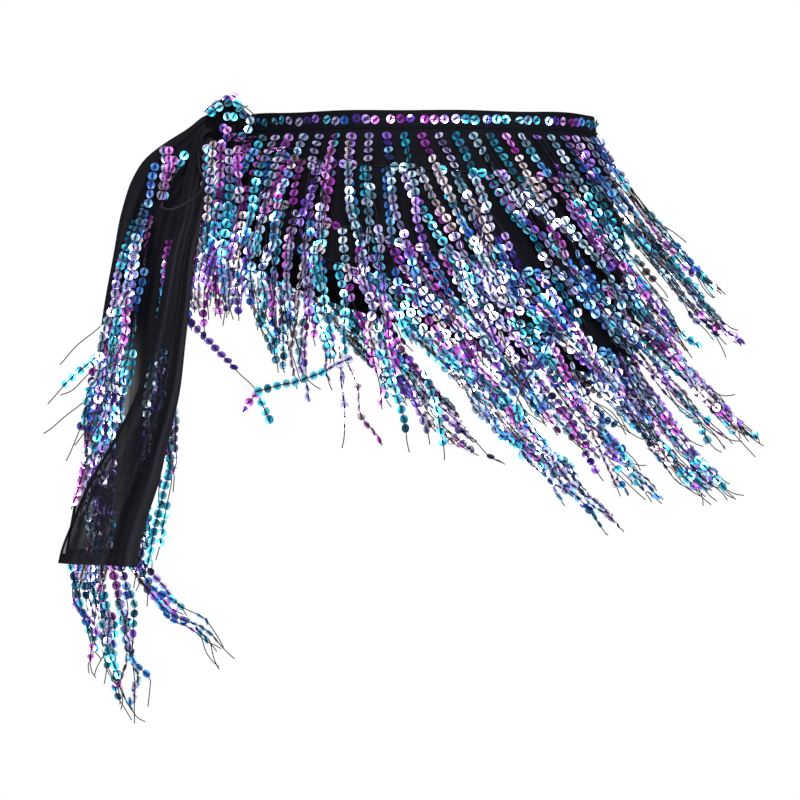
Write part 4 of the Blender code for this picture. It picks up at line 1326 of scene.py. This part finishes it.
def end_string(random, spec, share):
    """A string from the rear tie end's hem, drawn in to its tuft."""
    end_at = REAR_TAIL["at"][-1]
    root = tail_point(REAR_TAIL, end_at, -0.97 + 1.94 * share)
    length, lean, tip = spec_sizes(spec, share)
    path = fall_free(root, length * random.uniform(*spec["cut"]), lean, tip, random)
    along, tuft_lean, tuft_tip = TUFTS[min(int(share * len(TUFTS)), len(TUFTS) - 1)]
    spine = fall_free(tail_point(REAR_TAIL, end_at, along), TUFT_LONG, tuft_lean, tuft_tip, None)
    return drawn_in(path, spine, random.uniform(*TUFT_DRAW))


def make_tail_fringe(spec, a_string, materials):
    """The strings of one header on the rear tie end, each made by the function a_string."""
    random = np.random.default_rng(spec["seed"])
    batch = Batch()
    for i in range(spec["count"]):
        path = a_string(random, spec, (i + 0.5) / spec["count"])
        make_string(batch, random, path, to_front(path), spec)
    make_piece(spec["node"] + "_strings", batch, materials, spec["node"])


def smooth_path(points, steps):
    """A smooth line through a few points, evenly stepped."""
    points = np.asarray(points, float)
    at = np.linspace(0, len(points) - 1, steps)
    padded = np.concatenate([[2 * points[0] - points[1]], points, [2 * points[-1] - points[-2]]])
    i = np.minimum(at.astype(int), len(points) - 2)
    t = (at - i)[:, None]
    p0, p1, p2, p3 = (padded[i + k] for k in range(4))
    bend, twist = 2 * p0 - 5 * p1 + 4 * p2 - p3, 3 * p1 - p0 - 3 * p2 + p3
    return 0.5 * (2 * p1 + (p2 - p0) * t + bend * t**2 + twist * t**3)


def stray_path(stray):
    """A stray's path: ahead of the panel, over the rear tie end's face, or at its own distance back."""
    flat = smooth_path(stray["path"], STRAY_STEPS)
    if "ahead" in stray:
        return np.array([(x, -skirt_y(x, d, stray["ahead"], STRAY_TUCK), -d) for x, d in flat])
    if "over" in stray:
        return np.column_stack([flat[:, 0], tail_face(flat[:, 1]) - stray["over"], -flat[:, 1]])
    return np.array([(x, stray["y"], -d) for x, d in flat])


def make_strays(name, strays, materials, twist, bend, seed):
    """Single strings along given paths; twist and bend are how much their sequins turn and they bend."""
    random = np.random.default_rng(seed)
    batch = Batch()
    for stray in strays:
        path = stray_path(stray)
        normals = to_front(path)
        path = wobbled(random, path, normals, bend)
        batch.tube(path, THREAD / 2, 1)
        end = lengths_along(path)[-1] * stray["sewn"]
        if end > 0:
            hues = stray["hues"].split()
            places, colours, twists = sequin_places(random, STRAY_FROM, end, hues, STRAY_BARE, STRAY_RUNS)
            sew(batch, random, path, normals, places, colours, twists * twist)
    make_piece(name, batch, materials, None)


def make_loose_thread(thread):
    """The black thread that has come loose below the knot and hangs in a loop."""
    batch = Batch()
    path = smooth_path(LOOSE_LOOP, LOOSE_STEPS)
    path = np.column_stack([path[:, 0], path[:, 1], -path[:, 2]])
    batch.tube(path, LOOSE_RADIUS, 0, sides=6)
    make_piece("loose_thread", batch, [thread], None)


# ---------------- camera, light, floor


def make_camera():
    made = bpy.data.cameras.new("camera")
    made.sensor_width = SENSOR
    made.lens = SENSOR * CAMERA_DISTANCE / VIEW_WIDE
    made.clip_end = 50.0
    cam = bpy.data.objects.new("camera", made)
    cam.location = (CAMERA_X, -CAMERA_DISTANCE, CAMERA_Z)
    cam.rotation_euler = (math.pi / 2, 0.0, 0.0)
    bpy.context.scene.collection.objects.link(cam)
    bpy.context.scene.camera = cam


def make_light(name, place, size, power):
    """A round soft light, turned to LIGHT_AIM."""
    made = bpy.data.lights.new(name, "AREA")
    made.shape = "DISK"
    made.size = size
    made.energy = power
    obj = bpy.data.objects.new(name, made)
    obj.location = place
    ahead = np.array(LIGHT_AIM) - np.array(place)
    yaw = math.atan2(ahead[1], ahead[0]) - math.pi / 2
    pitch = math.atan2(ahead[2], math.hypot(ahead[0], ahead[1]))
    obj.rotation_euler = (math.pi / 2 + pitch, 0.0, yaw)
    bpy.context.scene.collection.objects.link(obj)


def make_world():
    """White behind the object, and a softer white that lights it."""
    world = bpy.data.worlds.new("studio")
    bpy.context.scene.world = world
    world.use_nodes = True
    tree = world.node_tree
    sky = tree.nodes["Background"]
    sky.inputs["Color"].default_value = (1.0, 1.0, 1.0, 1.0)
    seen = tree.nodes.new("ShaderNodeLightPath").outputs["Is Camera Ray"]
    strength = tree.nodes.new("ShaderNodeMapRange")
    tree.links.new(seen, strength.inputs["Value"])
    strength.inputs["To Min"].default_value = AMBIENT
    strength.inputs["To Max"].default_value = 1.0
    tree.links.new(strength.outputs["Result"], sky.inputs["Strength"])


def make_floor():
    """A plain pale disc below the scarf."""
    turn = 2 * np.pi * np.arange(FLOOR_SIDES) / FLOOR_SIDES
    level = np.full(FLOOR_SIDES, -FLOOR_DROP)
    rim = np.column_stack([FLOOR_RADIUS * np.cos(turn), FLOOR_RADIUS * np.sin(turn), level])
    mesh = bpy.data.meshes.new("floor")
    mesh.from_pydata(rim.tolist(), [], [tuple(range(FLOOR_SIDES))])
    m = Nodes("floor")
    m.principled(Base_Color=(0.82, 0.82, 0.82, 1.0), Roughness=0.9)
    mesh.materials.append(m.made)
    floor = bpy.data.objects.new("floor", mesh)
    bpy.context.scene.collection.objects.link(floor)


# ---------------- the scarf


def main():
    cloth = chiffon_material("chiffon", clear=.985, dense=1.0, crinkle=260.0, haze=.002, shine=.02)
    sheer = chiffon_material("chiffon_sheer", clear=.55, dense=.80, crinkle=160.0, haze=.004, shine=.06)
    sequin, thread = sequin_material(), thread_material()
    sewn = [sequin, thread]
    make_waistband(cloth)
    make_panel(cloth)
    make_knot(cloth)
    make_knot_wrap(cloth)
    make_tail("front_tail", FRONT_TAIL, sheer, FRONT_PLEATS, HEM_WIDE)
    make_tail("rear_tail", REAR_TAIL, sheer, REAR_PLEATS, HEM_NARROW)
    for table in FRINGE_ROWS:
        make_row(table, sewn)
    make_band_header(sewn)
    for spec in FACE_FRINGES:
        make_tail_fringe(spec, face_string, sewn)
    make_tail_fringe(END_FRINGE, end_string, sewn)
    make_strays("stray_strings", STRAYS + FLYING, sewn, twist=.5, bend=.0012, seed=31)
    make_strays("knot_strings", KNOT_STRINGS, sewn, twist=1.1, bend=.0028, seed=32)
    make_strays("knot_sequins", KNOT_CLUSTER, sewn, twist=1.2, bend=.0010, seed=33)
    make_strays("tuft_strings", TUFT_STRINGS, sewn, twist=1.5, bend=.0010, seed=34)
    make_loose_thread(thread)

    make_camera()
    make_world()
    for name, sizes in LIGHTS.items():
        make_light(name, *sizes)
    make_floor()
    bpy.context.scene.view_settings.view_transform = "Standard"


main()
